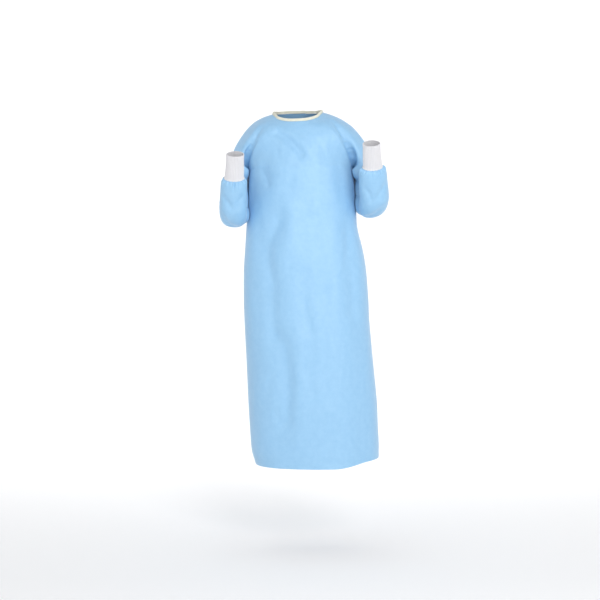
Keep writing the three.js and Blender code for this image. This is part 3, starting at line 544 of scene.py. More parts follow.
# %% Rings of the arm
def arm_axes(arm, degrees):
    """Ways out, ahead and down the arm after it has bent by so many degrees."""
    turn = math.radians(degrees)
    roll = math.radians(arm["roll"]) * math.sin(turn)
    ahead = np.array([0, -math.cos(turn), math.sin(turn)])
    outer = np.array([arm["sign"] * math.cos(roll), 0, 0]) + ahead * math.sin(roll)
    return outer, ahead, np.array([0, -math.sin(turn), -math.cos(turn)])


def arm_ring(centre, axes, across, deep, power, out, count):
    """A ring from the underside round by the front. out stands it off, evenly or spot by spot."""
    angle = np.pi - 2 * np.pi * np.arange(count) / count
    c, s = np.cos(angle), np.sin(angle)
    reach = 1 / (np.abs(c) ** power + np.abs(s) ** power) ** (1 / power)
    return (np.array(centre) + (c * (across * reach + out))[:, None] * axes[0]
            + (s * (deep * reach + out))[:, None] * axes[1])


def beyond_crease(arm, axes):
    """The arm's middle, straight across from the elbow's inner crease."""
    return np.array(arm["crease"], float) - axes[1] * (arm["crease_radius"] + arm["deep"])


def elbow_ring(arm, degrees):
    axes = arm_axes(arm, degrees)
    centre = beyond_crease(arm, axes)
    centre[0] += arm["shift"] * ease(arm["start"], arm["end"], degrees)
    return arm_ring(centre, axes, arm["across"], arm["deep"], SLEEVE_POWER, 0, RING)


def forearm_centre(arm, distance):
    axes = arm_axes(arm, arm["end"])
    centre = beyond_crease(arm, axes) + axes[2] * distance
    centre[0] += arm["shift"] + arm["wrist_shift"] * distance / (arm["forearm"] + CUFF_LENGTH)
    return centre


def evened(ring):
    return (2 * ring + np.roll(ring, 1, axis=0) + np.roll(ring, -1, axis=0)) / 4


def halfway(points):
    """The points with one more halfway between each two, without the last."""
    between = (points[1:] + points[:-1]) / 2
    return np.stack([points[:-1], between], axis=1).reshape(-1, 3)


print("right wrist at", forearm_centre(ARMS["right"], ARMS["right"]["forearm"]).round(), "mm")


# %% Sleeve rings at the solids' steps
def armhole(side, seam_steps, neck_steps):
    """The line up the front seam, over the shoulder and down the back seam."""
    up, over, down = (seam_line(RAGLAN[side, part], steps) for part, steps in
                      (("front", seam_steps), ("neck", neck_steps), ("back", seam_steps)))
    return np.vstack([up, over[1:-1], down[::-1]])


def over_seam(panel, end, beside, underarm):
    """The way out over a raglan seam, square to it, in the panel's own surface."""
    seam = unit(np.gradient(panel[ROWS:, end], axis=0))[1:]
    away = (panel[ROWS:, end] - panel[ROWS:, beside])[1:]
    away = unit(away - seam * (away * seam).sum(axis=1, keepdims=True))
    pull = UNDERARM_PULL * (1 - ease(0, 0.7, np.arange(1, YOKE_ROWS + 1) / YOKE_ROWS))
    return unit(away + underarm * pull[:, None])


def sleeve_headings(side):
    """The way in which each spot of the first ring sets off into the sleeve."""
    arm = ARMS[side]
    end, beside = (0, 1) if side == "right" else (-1, -2)
    underarm = unit([arm["sign"], 0, UNDERARM_SLOPE])
    shoulder = unit([arm["sign"], 0, arm["slope"]])
    ring = unit(halfway(np.vstack([
        underarm, over_seam(plain_front, end, beside, underarm), [shoulder] * (NECK_STEPS - 1),
        over_seam(plain_backs[side], 0, 1, underarm)[::-1], underarm])))
    for _ in range(SMOOTHING):
        ring = unit(evened(ring))
    return ring


def shoulder_rings(side):
    arm = ARMS[side]
    headings = sleeve_headings(side)
    start = halfway(armhole(side, YOKE_ROWS, NECK_STEPS))
    elbow = elbow_ring(arm, arm["start"])
    heading = unit(np.array([arm["sign"] * arm["out"], 0, 0]) + arm_axes(arm, arm["start"])[2])
    outer = (1 - np.cos(2 * np.pi * np.arange(RING) / RING)) / 2
    pull = (np.linalg.norm(elbow - start, axis=1) * mix(INNER_FULLNESS, OUTER_FULLNESS, outer))[:, None]
    rings = []
    for i, s in enumerate(SHOULDER_STEPS):
        ring = hermite(start, elbow, headings * pull, heading * pull, s)
        for _ in range(min(2 * i, SMOOTHING)):
            ring = evened(ring)
        rings.append(ring)
    return rings


def hung_ring(ring, arm, share):
    ring = ring.copy()
    for k in [0, *range(HANGS_FROM, RING)]:
        ring[k, 0] -= arm["sign"] * read(HANGING, k or RING, 1) * share**3
        ring[k, 1] += read(HANGING, k or RING, 2) * share
    return ring


def sleeve_rings(side):
    arm = ARMS[side]
    rings = shoulder_rings(side)
    for i in range(ELBOW_STEPS + 1):
        rings.append(elbow_ring(arm, mix(arm["start"], arm["end"], i / ELBOW_STEPS)))
    for i, share in enumerate(HANGING_SHARES):
        rings[i] = hung_ring(rings[i], arm, share)
    axes = arm_axes(arm, arm["end"])
    for along, across, deep in FOREARM:
        centre = forearm_centre(arm, along * arm["forearm"])
        rings.append(arm_ring(centre, axes, arm["across"] * across, arm["deep"] * deep,
                              mix(SLEEVE_POWER, 2, along), 0, RING))
    wrist = forearm_centre(arm, arm["forearm"])
    rings.append(arm_ring(wrist, axes, CUFF[0, 1], CUFF[0, 2], 2, 0, RING))
    return np.array(rings)


plain_sleeves = {side: sleeve_rings(side) for side in ARMS}
print("rings down a sleeve", len(plain_sleeves["right"]))

# %% [markdown]
# ### Finer sleeves with their creases
# The rings are drawn finer along smooth curves both ways, and the first ring is taken over from
# the panels, so that the seam closes. Creases are then pressed in along the surface's normal.
# Each follows spots given as turns round the sleeve and rings down it.

# %% Finer rings and pressed creases
FINE_ALONG = 6
SLEEVE_CREASE_DEPTH = 1.35
# width, depth, then the turn and ring of each spot of the path
SLEEVE_CREASES = {
    "right": [
        (11, 8, 0.03, 1.6, 0.12, 1.4, 0.22, 1.3, 0.3, 1.2),
        (9, 4, 0.06, 3.2, 0.15, 2.8, 0.24, 2.4), (9, 4, 0.22, 11.5, 0.14, 10.2, 0.06, 9),
        (9, 4, 0.28, 11.5, 0.36, 10.2, 0.44, 9), (8, 3, 0.2, 13.2, 0.1, 13.9, 0.02, 14.1),
        (8, 2.6, 0.3, 13.2, 0.4, 13.9, 0.48, 14.1), (12, 5, 0.98, 4.6, 0.06, 5.6, 0.14, 7.2),
        (11, 4, 0.9, 5, 0.98, 6.4, 0.03, 8.2), (12, 3, 0.5, 6, 0.6, 7.6, 0.66, 9),
        (12, 3, 0.62, 4.8, 0.72, 6.4, 0.8, 8), (11, 3.6, 0.8, 12, 0.7, 13, 0.62, 14.4),
        (8, 3, 0.62, 17, 0.7, 16.2, 0.76, 15.2), (8, 3, 0.88, 17.2, 0.82, 16.4, 0.8, 15.4),
    ],
    "left": [
        (11, 9, 0.03, 1.6, 0.12, 1.4, 0.22, 1.3, 0.32, 1.2),
        (9, 4.5, 0.06, 3.2, 0.15, 2.8, 0.25, 2.4), (10, 4.4, 0.22, 11.5, 0.15, 10.2, 0.07, 9),
        (10, 3.6, 0.28, 11.5, 0.36, 10.4, 0.45, 9.2), (8, 3, 0.2, 13.2, 0.1, 13.8, 0.03, 14),
        (8, 2.8, 0.3, 13.2, 0.41, 13.9, 0.48, 14.2), (12, 5, 0.97, 4.4, 0.05, 5.4, 0.12, 7),
        (11, 4, 0.92, 5.2, 0.99, 6.6, 0.04, 8.4), (12, 3.2, 0.48, 5.8, 0.58, 7.4, 0.64, 8.8),
        (12, 3, 0.66, 4.6, 0.75, 6.2, 0.82, 7.8), (11, 3.6, 0.84, 12.2, 0.74, 13.2, 0.66, 14.2),
        (8, 3, 0.6, 17.2, 0.68, 16.4, 0.74, 15.4), (8, 3, 0.86, 17, 0.8, 16.2, 0.78, 15),
    ],
}


def finer(points, factor, round_it):
    """Curves through the points along the first axis, with factor steps for each one."""
    if round_it:
        padded = np.concatenate([points[-1:], points, points[:2]])
    else:
        padded = np.concatenate([2 * points[:1] - points[1:2], points, 2 * points[-1:] - points[-2:-1]])
    rows = [hermite(b, c, (c - a) / 2, (d - b) / 2, t)
            for a, b, c, d in zip(padded, padded[1:], padded[2:], padded[3:])
            for t in np.arange(factor) / factor]
    return np.array(rows if round_it else rows + [points[-1]])


def ring_normals(grid, flip):
    across = (np.roll(grid, -1, axis=1) - np.roll(grid, 1, axis=1)) / 2
    normal = np.cross(across, np.gradient(grid, axis=0))
    return unit(-normal if flip else normal)


def crease_line(grid, path, steps=24):
    """The path's own line on the surface, from turns and rings."""
    turns = np.unwrap(np.array(path[::2]) * 2 * np.pi) / (2 * np.pi)
    t = np.linspace(0, len(turns) - 1, steps)
    turn = np.interp(t, range(len(turns)), turns) % 1
    ring = np.interp(t, range(len(turns)), path[1::2])
    row = np.clip((ring * FINE_ALONG).round().astype(int), 0, len(grid) - 1)
    column = (turn * grid.shape[1]).round().astype(int) % grid.shape[1]
    return grid[row, column]


def press_creases(grid, normals, creases):
    """Presses each crease in as a soft trough that runs out at both its ends."""
    inset = np.zeros(grid.shape[:2])
    for width, deep, *path in creases:
        line = crease_line(grid, path)
        fade = np.sin(np.linspace(0.12, 0.88, len(line)) * np.pi)
        away = np.linalg.norm(grid[:, :, None, :] - line[None, None], axis=-1)
        inset += (SLEEVE_CREASE_DEPTH * deep * fade * np.exp(-((away / width) ** 2))).max(axis=-1)
    return grid - normals * inset[..., None]


print("creases", {side: len(creases) for side, creases in SLEEVE_CREASES.items()})

# %% [markdown]
# ### Gathers and the hang behind
# The sleeve is gathered into its cuff: uneven waves that run out into the forearm. Behind, the
# upper arm's cloth hangs against the body's side, and what comes close to it is drawn onto it, so
# that no light shows between the two.

# %% Sleeves
GATHER_REACH = 34
GATHER_DEPTH, GATHER_INSET = 1.5, 0.6
# waves round the sleeve, size, phase
GATHER_WAVES = ((11, 0.8, 0.4), (17, 0.8, 1.7), (26, 0.7, 2.9), (35, 0.5, 0.9))

SIDE_HEIGHTS = np.linspace(HEM_Z, UNDERARM_Z, 120)
SIDE_SIZES = [read(BODY_SECTIONS, SIDE_HEIGHTS, column) for column in (RIGHT, LEFT, FRONT, BACK)]
# How far off the body's side the cloth lies, and the share left of a gap wider than that
LIES_AT, GAP_SHARE = 1.3, 0.12
# Gap up to which the cloth is drawn in, and how much further out it is free again: on the
# body's side, and just under the arm
DRAWN_TO, FREE_AFTER = (9, 18), (15, 24)
UNDER_THE_ARM = (UNDERARM_Z - 34, UNDERARM_Z - 12)
LEANS_BELOW, LEANS_ABOVE = (UNDERARM_Z + 16, UNDERARM_Z - 2), (-392, -372)


def gathers(grid, arm):
    """Uneven waves round the sleeve, deepest just before the cuff."""
    down = run_lengths(grid, 0)
    to_cuff = (down[-1:] - down) / MM
    turn = 2 * np.pi * np.arange(grid.shape[1]) / grid.shape[1]
    bent = turn + 0.12 * np.sin(3 * turn + arm["sign"]) + 0.02 * np.sin(to_cuff / 9 + 5 * turn)
    wave = sum(size * np.cos(count * bent + phase) for count, size, phase in GATHER_WAVES)
    reach = GATHER_REACH * (1 + 0.4 * np.cos(4 * turn + arm["sign"]) + 0.2 * np.cos(9 * turn))
    strength = ease(1.0, 0.0, to_cuff / reach) * ease(-2, 7, to_cuff)
    return (wave * GATHER_DEPTH - GATHER_INSET) * strength


def body_side(sign, y, z):
    """How far out the body's side is, at a depth and a height."""
    right, left, front, back = (np.interp(z, SIDE_HEIGHTS, sizes) for sizes in SIDE_SIZES)
    deep = np.where(y < SIDE_SEAM_Y, SIDE_SEAM_Y - front, back - SIDE_SEAM_Y)
    round_by = np.clip(np.abs(y - SIDE_SEAM_Y) / deep, 0, 1) ** SECTION_POWER
    return sign * (right + left) / 2 + (left - right) / 2 * (1 - round_by) ** (1 / SECTION_POWER)


def lean_on_body(grid, arm):
    """Cloth that hangs close to the body's side below the armhole is drawn onto it."""
    x, y, z = (grid[..., k] for k in range(3))
    free = arm["sign"] * x - body_side(arm["sign"], y, z)
    under = ease(*UNDER_THE_ARM, z)
    let_go = ease(0, 1, (free - mix(*DRAWN_TO, under)) / mix(*FREE_AFTER, under))
    drawn = mix(LIES_AT + GAP_SHARE * (free - LIES_AT), free, let_go)
    share = ease(*LEANS_BELOW, z) * ease(*LEANS_ABOVE, z) * (free > LIES_AT)
    grid = grid.copy()
    grid[..., 0] = x + arm["sign"] * (drawn - free) * share
    return grid


sleeve_points = {}
for side, arm in ARMS.items():
    flip = side == "left"
    rings = np.array([finer(ring, FINE_RING, True) for ring in plain_sleeves[side]])
    rings[0] = armhole(side, YOKE_ROWS * FINE_YOKE, NECK_STEPS * 2 * FINE_RING)[:-1]
    grid = finer(rings, FINE_ALONG, False)
    normals = ring_normals(grid, flip)
    grid = press_creases(grid, normals, SLEEVE_CREASES[side])
    inside = open_edge(np.linspace(0, 1, len(grid)), 0.08)[:, None]
    grid = grid + normals * (gathers(grid, arm) + crumple(grid, 1.2) * 0.7 * inside)[..., None]
    grid = lean_on_body(grid, arm)
    grid[0] = rings[0]
    sleeve_points[side] = grid
    cloth_piece(f"{side}_sleeve_cloth", f"{side}_sleeve", grid, closed=True, flip=flip, sewn="bottom top")

# %% [markdown]
# ## Knit cuffs
# The cuffs are white rib knit: 36 ribs round the wrist, a soft tube that grips it. The ribs are
# real waves in both faces of the tube, because they show at its rim. Where the cuff is sewn to the
# sleeve, its edge stands out a little as an uneven ruffle. The stitches inside a rib are too small
# for that and are left to the finish.

# %% Cuffs
CUFF_RIBS = 36
RIB_DEPTH = 1.0
RIB_STEPS = 8
CUFF_ROWS = 44
CUFF_KNIT = 1.7
CUFF_GAP = 0.3
FRILL = 1.9

turn = 2 * np.pi * np.arange(CUFF_RIBS * RIB_STEPS) / (CUFF_RIBS * RIB_STEPS)
ribs = -RIB_DEPTH * (0.5 - 0.5 * np.cos(CUFF_RIBS * turn)) ** 0.8
frill = FRILL * (1 + 0.35 * np.cos(19 * turn) + 0.25 * np.cos(31 * turn + 1))
for side, arm in ARMS.items():
    rings = []
    for along in np.linspace(0, 1, CUFF_ROWS + 1):
        soft = 0.5 * np.sin(3 * turn + 4 * along) * ease(0, 0.3, along)
        rim = -0.5 * ease(0.94, 1, along)
        rings.append(arm_ring(forearm_centre(arm, arm["forearm"] + CUFF_GAP + along * CUFF_LENGTH),
                              arm_axes(arm, arm["end"]), read(CUFF, along, 1), read(CUFF, along, 2), 2,
                              ribs + soft + rim + frill * ease(0.06, 0.0, along), len(turn)))
    cloth_piece(f"{side}_knit_cuff", f"{side}_cuff", np.array(rings), "knit", CUFF_KNIT,
                sewn="bottom", closed=True, flip=side == "left")

# %% [markdown]
# ## Neck binding
# A cream tape is folded over the raw neck edge and sewn through. It is swept round the neck as a
# closed profile with a round top, on the same line as the panels' and sleeves' upper edges.

# %% Neck line
BINDING_STEP = 2.2
# Share of the way up that is straight up, against the cloth's own slope at the neck edge
BINDING_RISE = 0.75
BINDING_SMOOTHING = 90


def neck_line():
    """The neck edge from the right back's end round to the left back's end, and the way up."""
    neck_from = 2 * YOKE_ROWS * FINE_RING
    neck = slice(neck_from, neck_from + 2 * NECK_STEPS * FINE_RING + 1)
    right_back, left_back = back_points["right"], back_points["left"]
    right, left = sleeve_points["right"][:, neck], sleeve_points["left"][:, neck]
    parts = [
        (right_back[-1][::-1], right_back[-5][::-1]),
        (right[0][::-1], right[4][::-1]),
        (front_points[-1], front_points[-5]),
        (left[0], left[4]),
        (left_back[-1], left_back[-5]),
    ]
    edge, up = [], []
    for i, (line, below) in enumerate(parts):
        way = unit(line - below) * (1 - BINDING_RISE) + np.array([0, 0, BINDING_RISE])
        edge.append(line[min(i, 1):])
        up.append(way[min(i, 1):])
    edge, up = np.vstack(edge), unit(np.vstack(up))
    run = run_along(edge)
    at = np.linspace(0, run[-1], int(run[-1] / BINDING_STEP) + 1)
    edge, up = read_along(run, edge, at), read_along(run, up, at)
    for _ in range(BINDING_SMOOTHING):
        up[1:-1] = unit(2 * up[1:-1] + up[2:] + up[:-2])
    return edge, up


edge, up = neck_line()

# %% Binding
BINDING_WIDTH = 10
BINDING_WALL = 2.4
BINDING_LIFT = 0.4

outward = unit(np.cross(unit(np.gradient(edge, axis=0)), up))
# Profile round the tape, with the sewn groove low on its outer face and a rounded top: how far
# out of the outer face, and how far up
half, inner = BINDING_WALL / 2, -BINDING_WALL - 0.1
profile = [(0.15, BINDING_LIFT), (0.3, 1.6), (0.1, 2.3), (0.35, 3.2), (0.4, 6),
           (0.3, BINDING_WIDTH - 1.6)]
profile += [(-half + half * 1.2 * math.cos(a), BINDING_WIDTH - 1.4 + 1.4 * math.sin(a))
            for a in np.linspace(0.3, np.pi - 0.3, 6)]
profile += [(inner, BINDING_WIDTH - 1.6), (inner, 4), (-BINDING_WALL, 2.3),
            (-BINDING_WALL, BINDING_LIFT)]
rings = np.array([[p + o * out_by + u * up_by for out_by, up_by in profile]
                  for p, o, u in zip(edge, outward, up)])

wide = np.concatenate([rings, rings[:, :1]], axis=1)
cut = np.stack([run_lengths(wide, 1), run_lengths(wide, 0)], axis=-1)
binding = grid_object("binding_tape", rings, cut, flip=True, ends=True)
bpy.ops.object.shade_smooth_by_angle(angle=SHARP_EDGE)
place(binding, "neck_binding", "binding")
print("binding rings", rings.shape)

# %% [markdown]
# ## Neck tab, waist ties, knot and tails
# These lie on the outside of the back, so they are laid on its points and moved out. A spot is
# found by its row and its x, on the left panel or, past that panel's edge, on the right one, with
# a short ramp between the two.

# %% Spots on the outside of the back
LAP_RAMP = 16


def on_line(line, x):
    order = np.argsort(line[:, 0])
    return np.array([np.interp(x, line[order, 0], line[order, k]) for k in range(3)])


def on_panel(panel, row, x):
    r = min(int(row), len(panel) - 2)
    return mix(on_line(panel[r], x), on_line(panel[r + 1], x), row - r)


def outer_spot(row, x):
    right, left = plain_backs["right"], plain_backs["left"]
    r = min(int(row), len(left) - 2)
    edge_x = mix(left[r, -1, 0], left[r + 1, -1, 0], row - r)
    if x >= edge_x:
        return on_panel(left, row, x)
    if x <= edge_x - LAP_RAMP:
        return on_panel(right, row, x)
    low, high = on_panel(right, row, edge_x - LAP_RAMP), on_panel(left, row, edge_x)
    return mix(low, high, 1 - (edge_x - x) / LAP_RAMP)


def off_back(row, x, height):
    """A spot that far off the back's outer face."""
    along_x = outer_spot(row, x + 6) - outer_spot(row, x - 6)
    upward = outer_spot(row + 0.1, x) - outer_spot(row - 0.1, x)
    return outer_spot(row, x) + unit(np.cross(upward, along_x)) * height


def row_at(z):
    return (z - HEM_Z) / (UNDERARM_Z - HEM_Z) * ROWS


def tape(name, node, stations, thickness):
    """A flat tape over the back. A station is its places across as row, x and height above."""
    grid = np.array([[off_back(*spot) for spot in line] for line in stations])
    turn = np.cross(grid[0, 1] - grid[0, 0], grid[1, 0] - grid[0, 0])
    cloth_piece(name, node, grid, "tape", thickness, sewn="start end", flip=turn[1] < 0)


print("middle of the back at the underarm", outer_spot(ROWS, 0).round(1), "mm")

# %% Tab, ties and tails
STAND_OFF = 4.2
TAB_FROM, TAB_TO, TAB_UPPER, TAB_LOWER, TAB_THICK = -58, 14, 0.18, 0.92, 1.0
TIE_Z, TIE_DROP, TIE_THICK = -430, 12, 0.7
TIE_WIDTH, KNOT_WIDTH = 28, 19
TIE_STARTS = {"right": -166, "left": 196}
KNOT_X = 8
KNOT_HALF = (16, 8, 14)
# x at the top and at the end, length, width, and how much the end is cut aslant
TAILS = {"right": (-6, -20, 205, 21, 7), "left": (21, 40, 180, 21, -9)}

stations = []
for share in np.linspace(0, 1, 33):
    half = 0.5 - 0.12 * (1 - ease(0, 0.08, share)) - 0.12 * ease(0.92, 1, share)
    stations.append([(ROWS + YOKE_ROWS - mix(TAB_LOWER, TAB_UPPER, 0.5 + w * half * 2),
                      mix(TAB_FROM, TAB_TO, share), STAND_OFF) for w in np.linspace(-0.5, 0.5, 13)])
tape("neck_tab_cloth", "neck_tab", stations, TAB_THICK)

for side, arm in ARMS.items():
    knot_edge = KNOT_X + arm["sign"] * (KNOT_HALF[0] - 2)
    stations = []
    for share in np.linspace(0, 1, 97):
        width = mix(TIE_WIDTH, KNOT_WIDTH, share)
        pleat = 1.5 * ease(0.55, 1, share)
        x = mix(TIE_STARTS[side], knot_edge, share)
        z = TIE_Z - TIE_DROP * share
        stations.append([(row_at(z + w * width), x, STAND_OFF + pleat * math.cos(w * 19 + 0.6)
                          + 0.5 * math.sin(w * 9 + share * 7))
                         for w in np.linspace(-0.5, 0.5, 25)])
    tape(f"{side}_tie_tape", f"{side}_tie", stations, TIE_THICK)

    top, bottom, length, width, slant = TAILS[side]
    top_z = TIE_Z - TIE_DROP - KNOT_HALF[2] + 3
    stations = []
    for share in np.linspace(0, 1, 65):
        wide = mix(0.75, 1, ease(0, 0.4, share)) * width
        pleat = 1.8 * ease(0.35, 0, share)
        stations.append([(row_at(top_z - (length + 3) * share + 2 * w * slant * share),
                          mix(top, bottom, share) + w * wide,
                          STAND_OFF + pleat * math.cos(w * 16) + 1.2 * math.sin(share * 8 + w * 3))
                         for w in np.linspace(-0.5, 0.5, 21)])
    tape(f"{side}_tail_tape", f"{side}_tail", stations, TIE_THICK)

# %% [markdown]
# ### Knot
# The knot of a flat tie is a fat pad of cloth with one pass of the tape wrapped over it. It could
# be wound from the real tape, but at thumb size a rounded block, grooved where the passes cross,
# gives the same look. A cube is subdivided, rounded and pressed in along the grooves.

# %% Knot
KNOT_POWER = 3.2
KNOT_CUTS = 23
# The cube's map is four faces wide, and each face is about 32 mm
KNOT_UNWRAPPED = 4 * 32 * MM

bpy.ops.object.select_all(action="DESELECT")
bpy.ops.mesh.primitive_cube_add(size=2 * MM, location=(0, 0, 0))
knot = bpy.context.object
knot.name = "tie_knot_cloth"
bpy.ops.object.mode_set(mode="EDIT")
bpy.ops.mesh.select_all(action="SELECT")
bpy.ops.mesh.subdivide(number_cuts=KNOT_CUTS)
bpy.ops.object.mode_set(mode="OBJECT")
spots = np.array([v.co for v in knot.data.vertices]) / MM
spots /= (np.abs(spots) ** KNOT_POWER).sum(axis=1, keepdims=True) ** (1 / KNOT_POWER)
x, y, z = spots.T
aslant = x - 0.35 * z
wrap = np.exp(-((aslant / 0.42) ** 6))
pleats = 0.03 * np.cos(16 * aslant) * wrap + 0.03 * np.cos(14 * z) * (1 - wrap)
spots *= (0.86 + 0.12 * wrap + pleats)[:, None]
spots = spots * np.array(KNOT_HALF) + off_back(row_at(TIE_Z - TIE_DROP), KNOT_X, 3 + KNOT_HALF[1])
knot.data.vertices.foreach_set("co", (spots * MM).ravel())
knot.data.update()
cut = knot.data.uv_layers[0]
cut.name = "cut"
for corner in cut.data:
    corner.uv = corner.uv * KNOT_UNWRAPPED
select_only(knot)
bpy.ops.object.shade_smooth_by_angle(angle=math.radians(60))
place(knot, "tie_knot", "tape")
print("knot corners", len(spots))

# %% [markdown]
# ## Finishes
# Colours are sRGB hex values, turned to linear by one function, and one small helper adds a node
# with its settings and links. The finishes read the piece's own UV map, whose unit is the metre,
# so a pattern's scale is one over its real size.

# %% Node helpers
# A wave texture makes about 3.2 bands in each unit of its map
BANDS_IN_UNIT = 3.2


def linear(hex_colour):
    """An sRGB hex colour as linear values."""
    channels = [int(hex_colour[i:i + 2], 16) / 255 for i in (1, 3, 5)]
    return [c / 12.92 if c <= 0.04045 else ((c + 0.055) / 1.055) ** 2.4 for c in channels] + [1.0]


def set_sockets(node, **inputs):
    """Sets or links a node's sockets by name, or by number after an underscore."""
    for socket, value in inputs.items():
        target = node.inputs[int(socket[1:]) if socket[1:].isdigit() else socket.replace("_", " ")]
        if isinstance(value, bpy.types.NodeSocket):
            node.id_data.links.new(value, target)
        else:
            target.default_value = value


def add_node(tree, kind, fields=(), output=0, **inputs):
    """Adds a node, sets its fields and sockets, and gives back one of its outputs."""
    node = tree.nodes.new("ShaderNode" + kind)
    for field, value in dict(fields).items():
        setattr(node, field, value)
    set_sockets(node, **inputs)
    return node.outputs[output]


def add_noise(tree, at, grain, flat=False, **inputs):
    """Noise with its grain in millimetres."""
    return add_node(tree, "TexNoise", {"noise_dimensions": "2D" if flat else "3D"}, Vector=at,
                    Scale=1 / (grain * MM), **inputs)


def add_bands(tree, cut, way, pitch, **inputs):
    """Bands that far apart in millimetres."""
    return add_node(tree, "TexWave", {"wave_type": "BANDS", "bands_direction": way}, "Fac", Vector=cut,
                    Scale=1 / (pitch * MM * BANDS_IN_UNIT), **inputs)


def add_mix(tree, share, first, second):
    return add_node(tree, "Mix", {"data_type": "RGBA"}, 2, _0=share, _6=linear(first),
                    _7=linear(second))


def add_range(tree, value, low, high, kind="SMOOTHSTEP"):
    return add_node(tree, "MapRange", {"interpolation_type": kind}, Value=value, From_Min=low,
                    From_Max=high)


def add_bumps(tree, *bumps):
    """Bumps one over the other, each a height, a strength and a depth in millimetres."""
    under = {}
    for height, strength, depth in bumps:
        bump = add_node(tree, "Bump", Height=height, Strength=strength, Distance=depth * MM, **under)
        under = {"Normal": bump}
    return bump


def new_finish(name):
    """A material with its node tree and its shader."""
    material = bpy.data.materials.new(name)
    material.use_nodes = True
    shader = material.node_tree.nodes["Principled BSDF"]
    return material, material.node_tree, shader


print("mid grey in linear values", round(linear("#808080")[0], 3))

# %% [markdown]
# ### Nonwoven polypropylene
# Gowns are cut from spunbond and meltblown polypropylene, pressed together at small points. It
# gives the eye a soft, even, slightly cloudy surface with hardly any gloss. The points are 1 mm
# apart. In the photograph they don't show, so they are drawn 1.6 mm apart, as a faint bump.

# %% Nonwoven
CLOTH_THIN, CLOTH_THICK = "#9bcbee", "#93c5ea"
TAPE_THIN, TAPE_THICK = "#a6d4f3", "#99cbee"
BOND_PITCH = 1.6 * MM


def nonwoven(name, thin, thick):
    material, tree, shader = new_finish(name)
    cut = add_node(tree, "UVMap", {"uv_map": "cut"})
    room = add_node(tree, "TexCoord", output="Object")
    cloud = add_noise(tree, room, 18, Detail=5.0, Roughness=0.65)
    colour = add_mix(tree, add_range(tree, cloud, 0.3, 0.7, "LINEAR"), thick, thin)
    # Diamond grid of bond points, turned 45 degrees as the press roller's is
    turned = add_node(tree, "Mapping", Vector=cut, Rotation=(0, 0, math.radians(45)),
                      Scale=(1 / BOND_PITCH, 1 / BOND_PITCH, 1))
    points = add_node(tree, "TexVoronoi", {"voronoi_dimensions": "2D", "feature": "F1"}, Vector=turned,
                      Scale=1.0, Randomness=0.08)
    # The sewn line, a seam allowance in from each seam
    to_seam = add_node(tree, "Attribute", {"attribute_name": "to_seam"}, "Fac")
    inside = add_node(tree, "Math", {"operation": "SUBTRACT"}, _0=to_seam, _1=SEAM_ALLOWANCE * MM)
    off_line = add_node(tree, "Math", {"operation": "ABSOLUTE"}, _0=inside)
    dents = add_noise(tree, room, 30, Detail=2.0, Roughness=0.45, Distortion=0.5)
    bump = add_bumps(tree, (dents, 0.4, 1.2), (add_range(tree, points, 0.12, 0.34), 0.35, 0.08),
                     (add_noise(tree, room, 1.2, Detail=2.0), 0.25, 0.1),
                     (add_range(tree, off_line, 0.0, 1.1 * MM), 0.6, 0.3))
    set_sockets(shader, Base_Color=colour, Normal=bump, Roughness=0.52, Specular_IOR_Level=0.8,
                Sheen_Weight=0.3, Sheen_Roughness=0.4)
    return material


gown_cloth = nonwoven("Nonwoven polypropylene, light blue", CLOTH_THIN, CLOTH_THICK)
tie_cloth = nonwoven("Nonwoven polypropylene tape", TAPE_THIN, TAPE_THICK)
print("nodes of the cloth's finish", len(gown_cloth.node_tree.nodes))

# %% [markdown]
# ### Rib knit cotton and polyester
# White yarn, knitted in ribs. A stitch is about 1.1 mm wide and 0.9 mm high. It shows as fine rows
# across each rib, drawn 1.6 mm apart as a wave along the cuff, with a little fuzz.

# %% Rib knit
STITCH = 1.6


def rib_knit(name):
    material, tree, shader = new_finish(name)
    cut = add_node(tree, "UVMap", {"uv_map": "cut"})
    fuzz = add_noise(tree, cut, 1.5, flat=True, Detail=3.0)
    rows = add_bands(tree, cut, "Y", STITCH, Distortion=1.2, Detail=1.0)
    set_sockets(shader, Base_Color=add_mix(tree, fuzz, "#dddde0", "#eceaec"),
                Normal=add_bumps(tree, (rows, 0.5, 0.25), (fuzz, 0.5, 0.2)), Roughness=0.92,
                Specular_IOR_Level=0.2, Sheen_Weight=0.25)
    return material


cuff_knit = rib_knit("Rib knit, white polyester and cotton")
print("rows in a cuff", round(CUFF_LENGTH / STITCH))

# %% [markdown]
# ### Cream binding tape
# A woven bias tape in cream. Its threads are 0.5 mm apart, and they are drawn at 0.9 mm as a fine
# check of bumps, so that they show close up. The sewn line is the groove low on its profile.

# %% Binding tape
THREAD = 0.9


def woven_tape(name):
    material, tree, shader = new_finish(name)
    cut = add_node(tree, "UVMap", {"uv_map": "cut"})
    check = [add_bands(tree, cut, way, THREAD, Distortion=0.4) for way in "XY"]
    weave = add_node(tree, "Math", {"operation": "MULTIPLY"}, _0=check[0], _1=check[1])
    tone = add_noise(tree, cut, 10, flat=True, Detail=3.0)
    set_sockets(shader, Base_Color=add_mix(tree, tone, "#e2e0c8", "#f2f0e2"),
                Normal=add_bumps(tree, (weave, 0.5, 0.2)), Roughness=0.85, Specular_IOR_Level=0.25)
    return material


cream_tape = woven_tape("Woven bias tape, cream")

# %% Dressing the pieces
FINISHES = {"cloth": gown_cloth, "tape": tie_cloth, "knit": cuff_knit, "binding": cream_tape}
for piece in bpy.data.objects:
    if piece.type == "MESH" and "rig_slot" in piece:
        piece.data.materials.clear()
        piece.data.materials.append(FINISHES[piece["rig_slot"]])
print("finishes", sorted(FINISHES))

# %% [markdown]
# ## Stage and light
# The floor is where the wearer stands. It turns up into a plain wall all round, as in a round
# photo studio, so that there is no line behind the gown from any side. It is a profile turned
# round the middle with Spin, after which the doubled seam is merged.

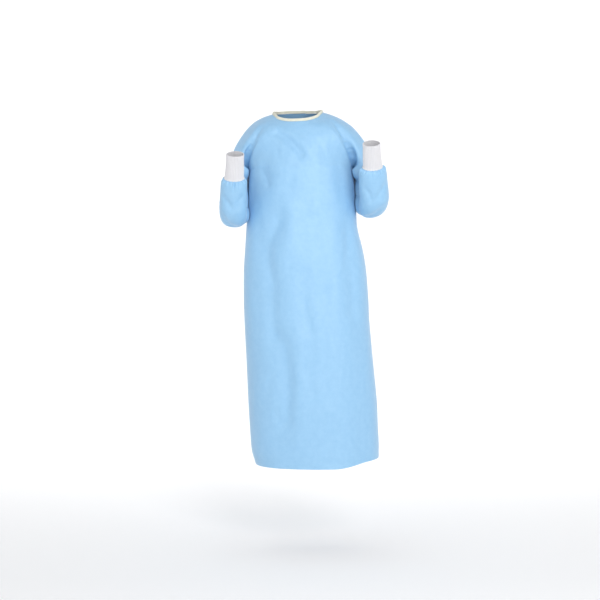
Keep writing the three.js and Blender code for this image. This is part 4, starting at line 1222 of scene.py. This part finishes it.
# %% Stage
FLOOR_Z = -1.465
FLOOR_RADIUS = 5.0
TURN_UP = 2.5
WALL_TOP = 5.0

profile = [(0.0, FLOOR_Z), (FLOOR_RADIUS / 2, FLOOR_Z)]
profile += [(FLOOR_RADIUS + TURN_UP * math.sin(a), FLOOR_Z + TURN_UP * (1 - math.cos(a)))
            for a in np.linspace(0, math.pi / 2, 13)]
profile.append((FLOOR_RADIUS + TURN_UP, WALL_TOP))
bpy.ops.object.select_all(action="DESELECT")
bpy.ops.mesh.primitive_plane_add(size=1)
floor = bpy.context.object
floor.name = "studio_floor"
floor.data.clear_geometry()
edges = [(i, i + 1) for i in range(len(profile) - 1)]
floor.data.from_pydata([(r, 0, z) for r, z in profile], edges, [])
bpy.ops.object.mode_set(mode="EDIT")
bpy.ops.mesh.select_all(action="SELECT")
bpy.ops.mesh.spin(steps=96, angle=2 * math.pi, center=(0, 0, 0), axis=(0, 0, 1))
bpy.ops.mesh.select_all(action="SELECT")
bpy.ops.mesh.remove_doubles(threshold=0.001)
bpy.ops.mesh.normals_make_consistent(inside=True)
bpy.ops.object.mode_set(mode="OBJECT")
bpy.ops.object.shade_smooth()
paper, tree, shader = new_finish("Studio wall, matt white")
set_sockets(shader, Base_Color=linear("#f6f6f6"), Roughness=0.9, Specular_IOR_Level=0.1,
            Emission_Color=linear("#ffffff"), Emission_Strength=0.1)
floor.data.materials.append(paper)
print("floor faces", len(floor.data.polygons))


# %% Lights
def soft_light(name, at, target, size, power):
    """A square lamp at a place in metres, turned to a target."""
    bpy.ops.object.light_add(type="AREA", location=at)
    lamp = bpy.context.object
    lamp.name = name
    lamp.data.size = size
    lamp.data.energy = power
    way = np.array(target) - np.array(at)
    lamp.rotation_euler = (math.atan2(math.hypot(way[0], way[1]), -way[2]), 0,
                           math.atan2(way[1], way[0]) - math.pi / 2)


soft_light("key", (1.0, -3.4, 0.8), (0, 0, -0.45), 1.3, 54)
soft_light("fill", (-2.6, -2.4, 0.3), (0, 0, -0.6), 2.0, 4)
soft_light("backdrop_light", (0.0, 2.0, 2.6), (0, 7.0, -0.4), 3.0, 120)

world = bpy.data.worlds.new("studio")
bpy.context.scene.world = world
world.use_nodes = True
set_sockets(world.node_tree.nodes["Background"], Color=linear("#fbfcff"), Strength=0.575)
bpy.context.scene.view_settings.view_transform = "Standard"
print("lamps", len(bpy.data.lights))
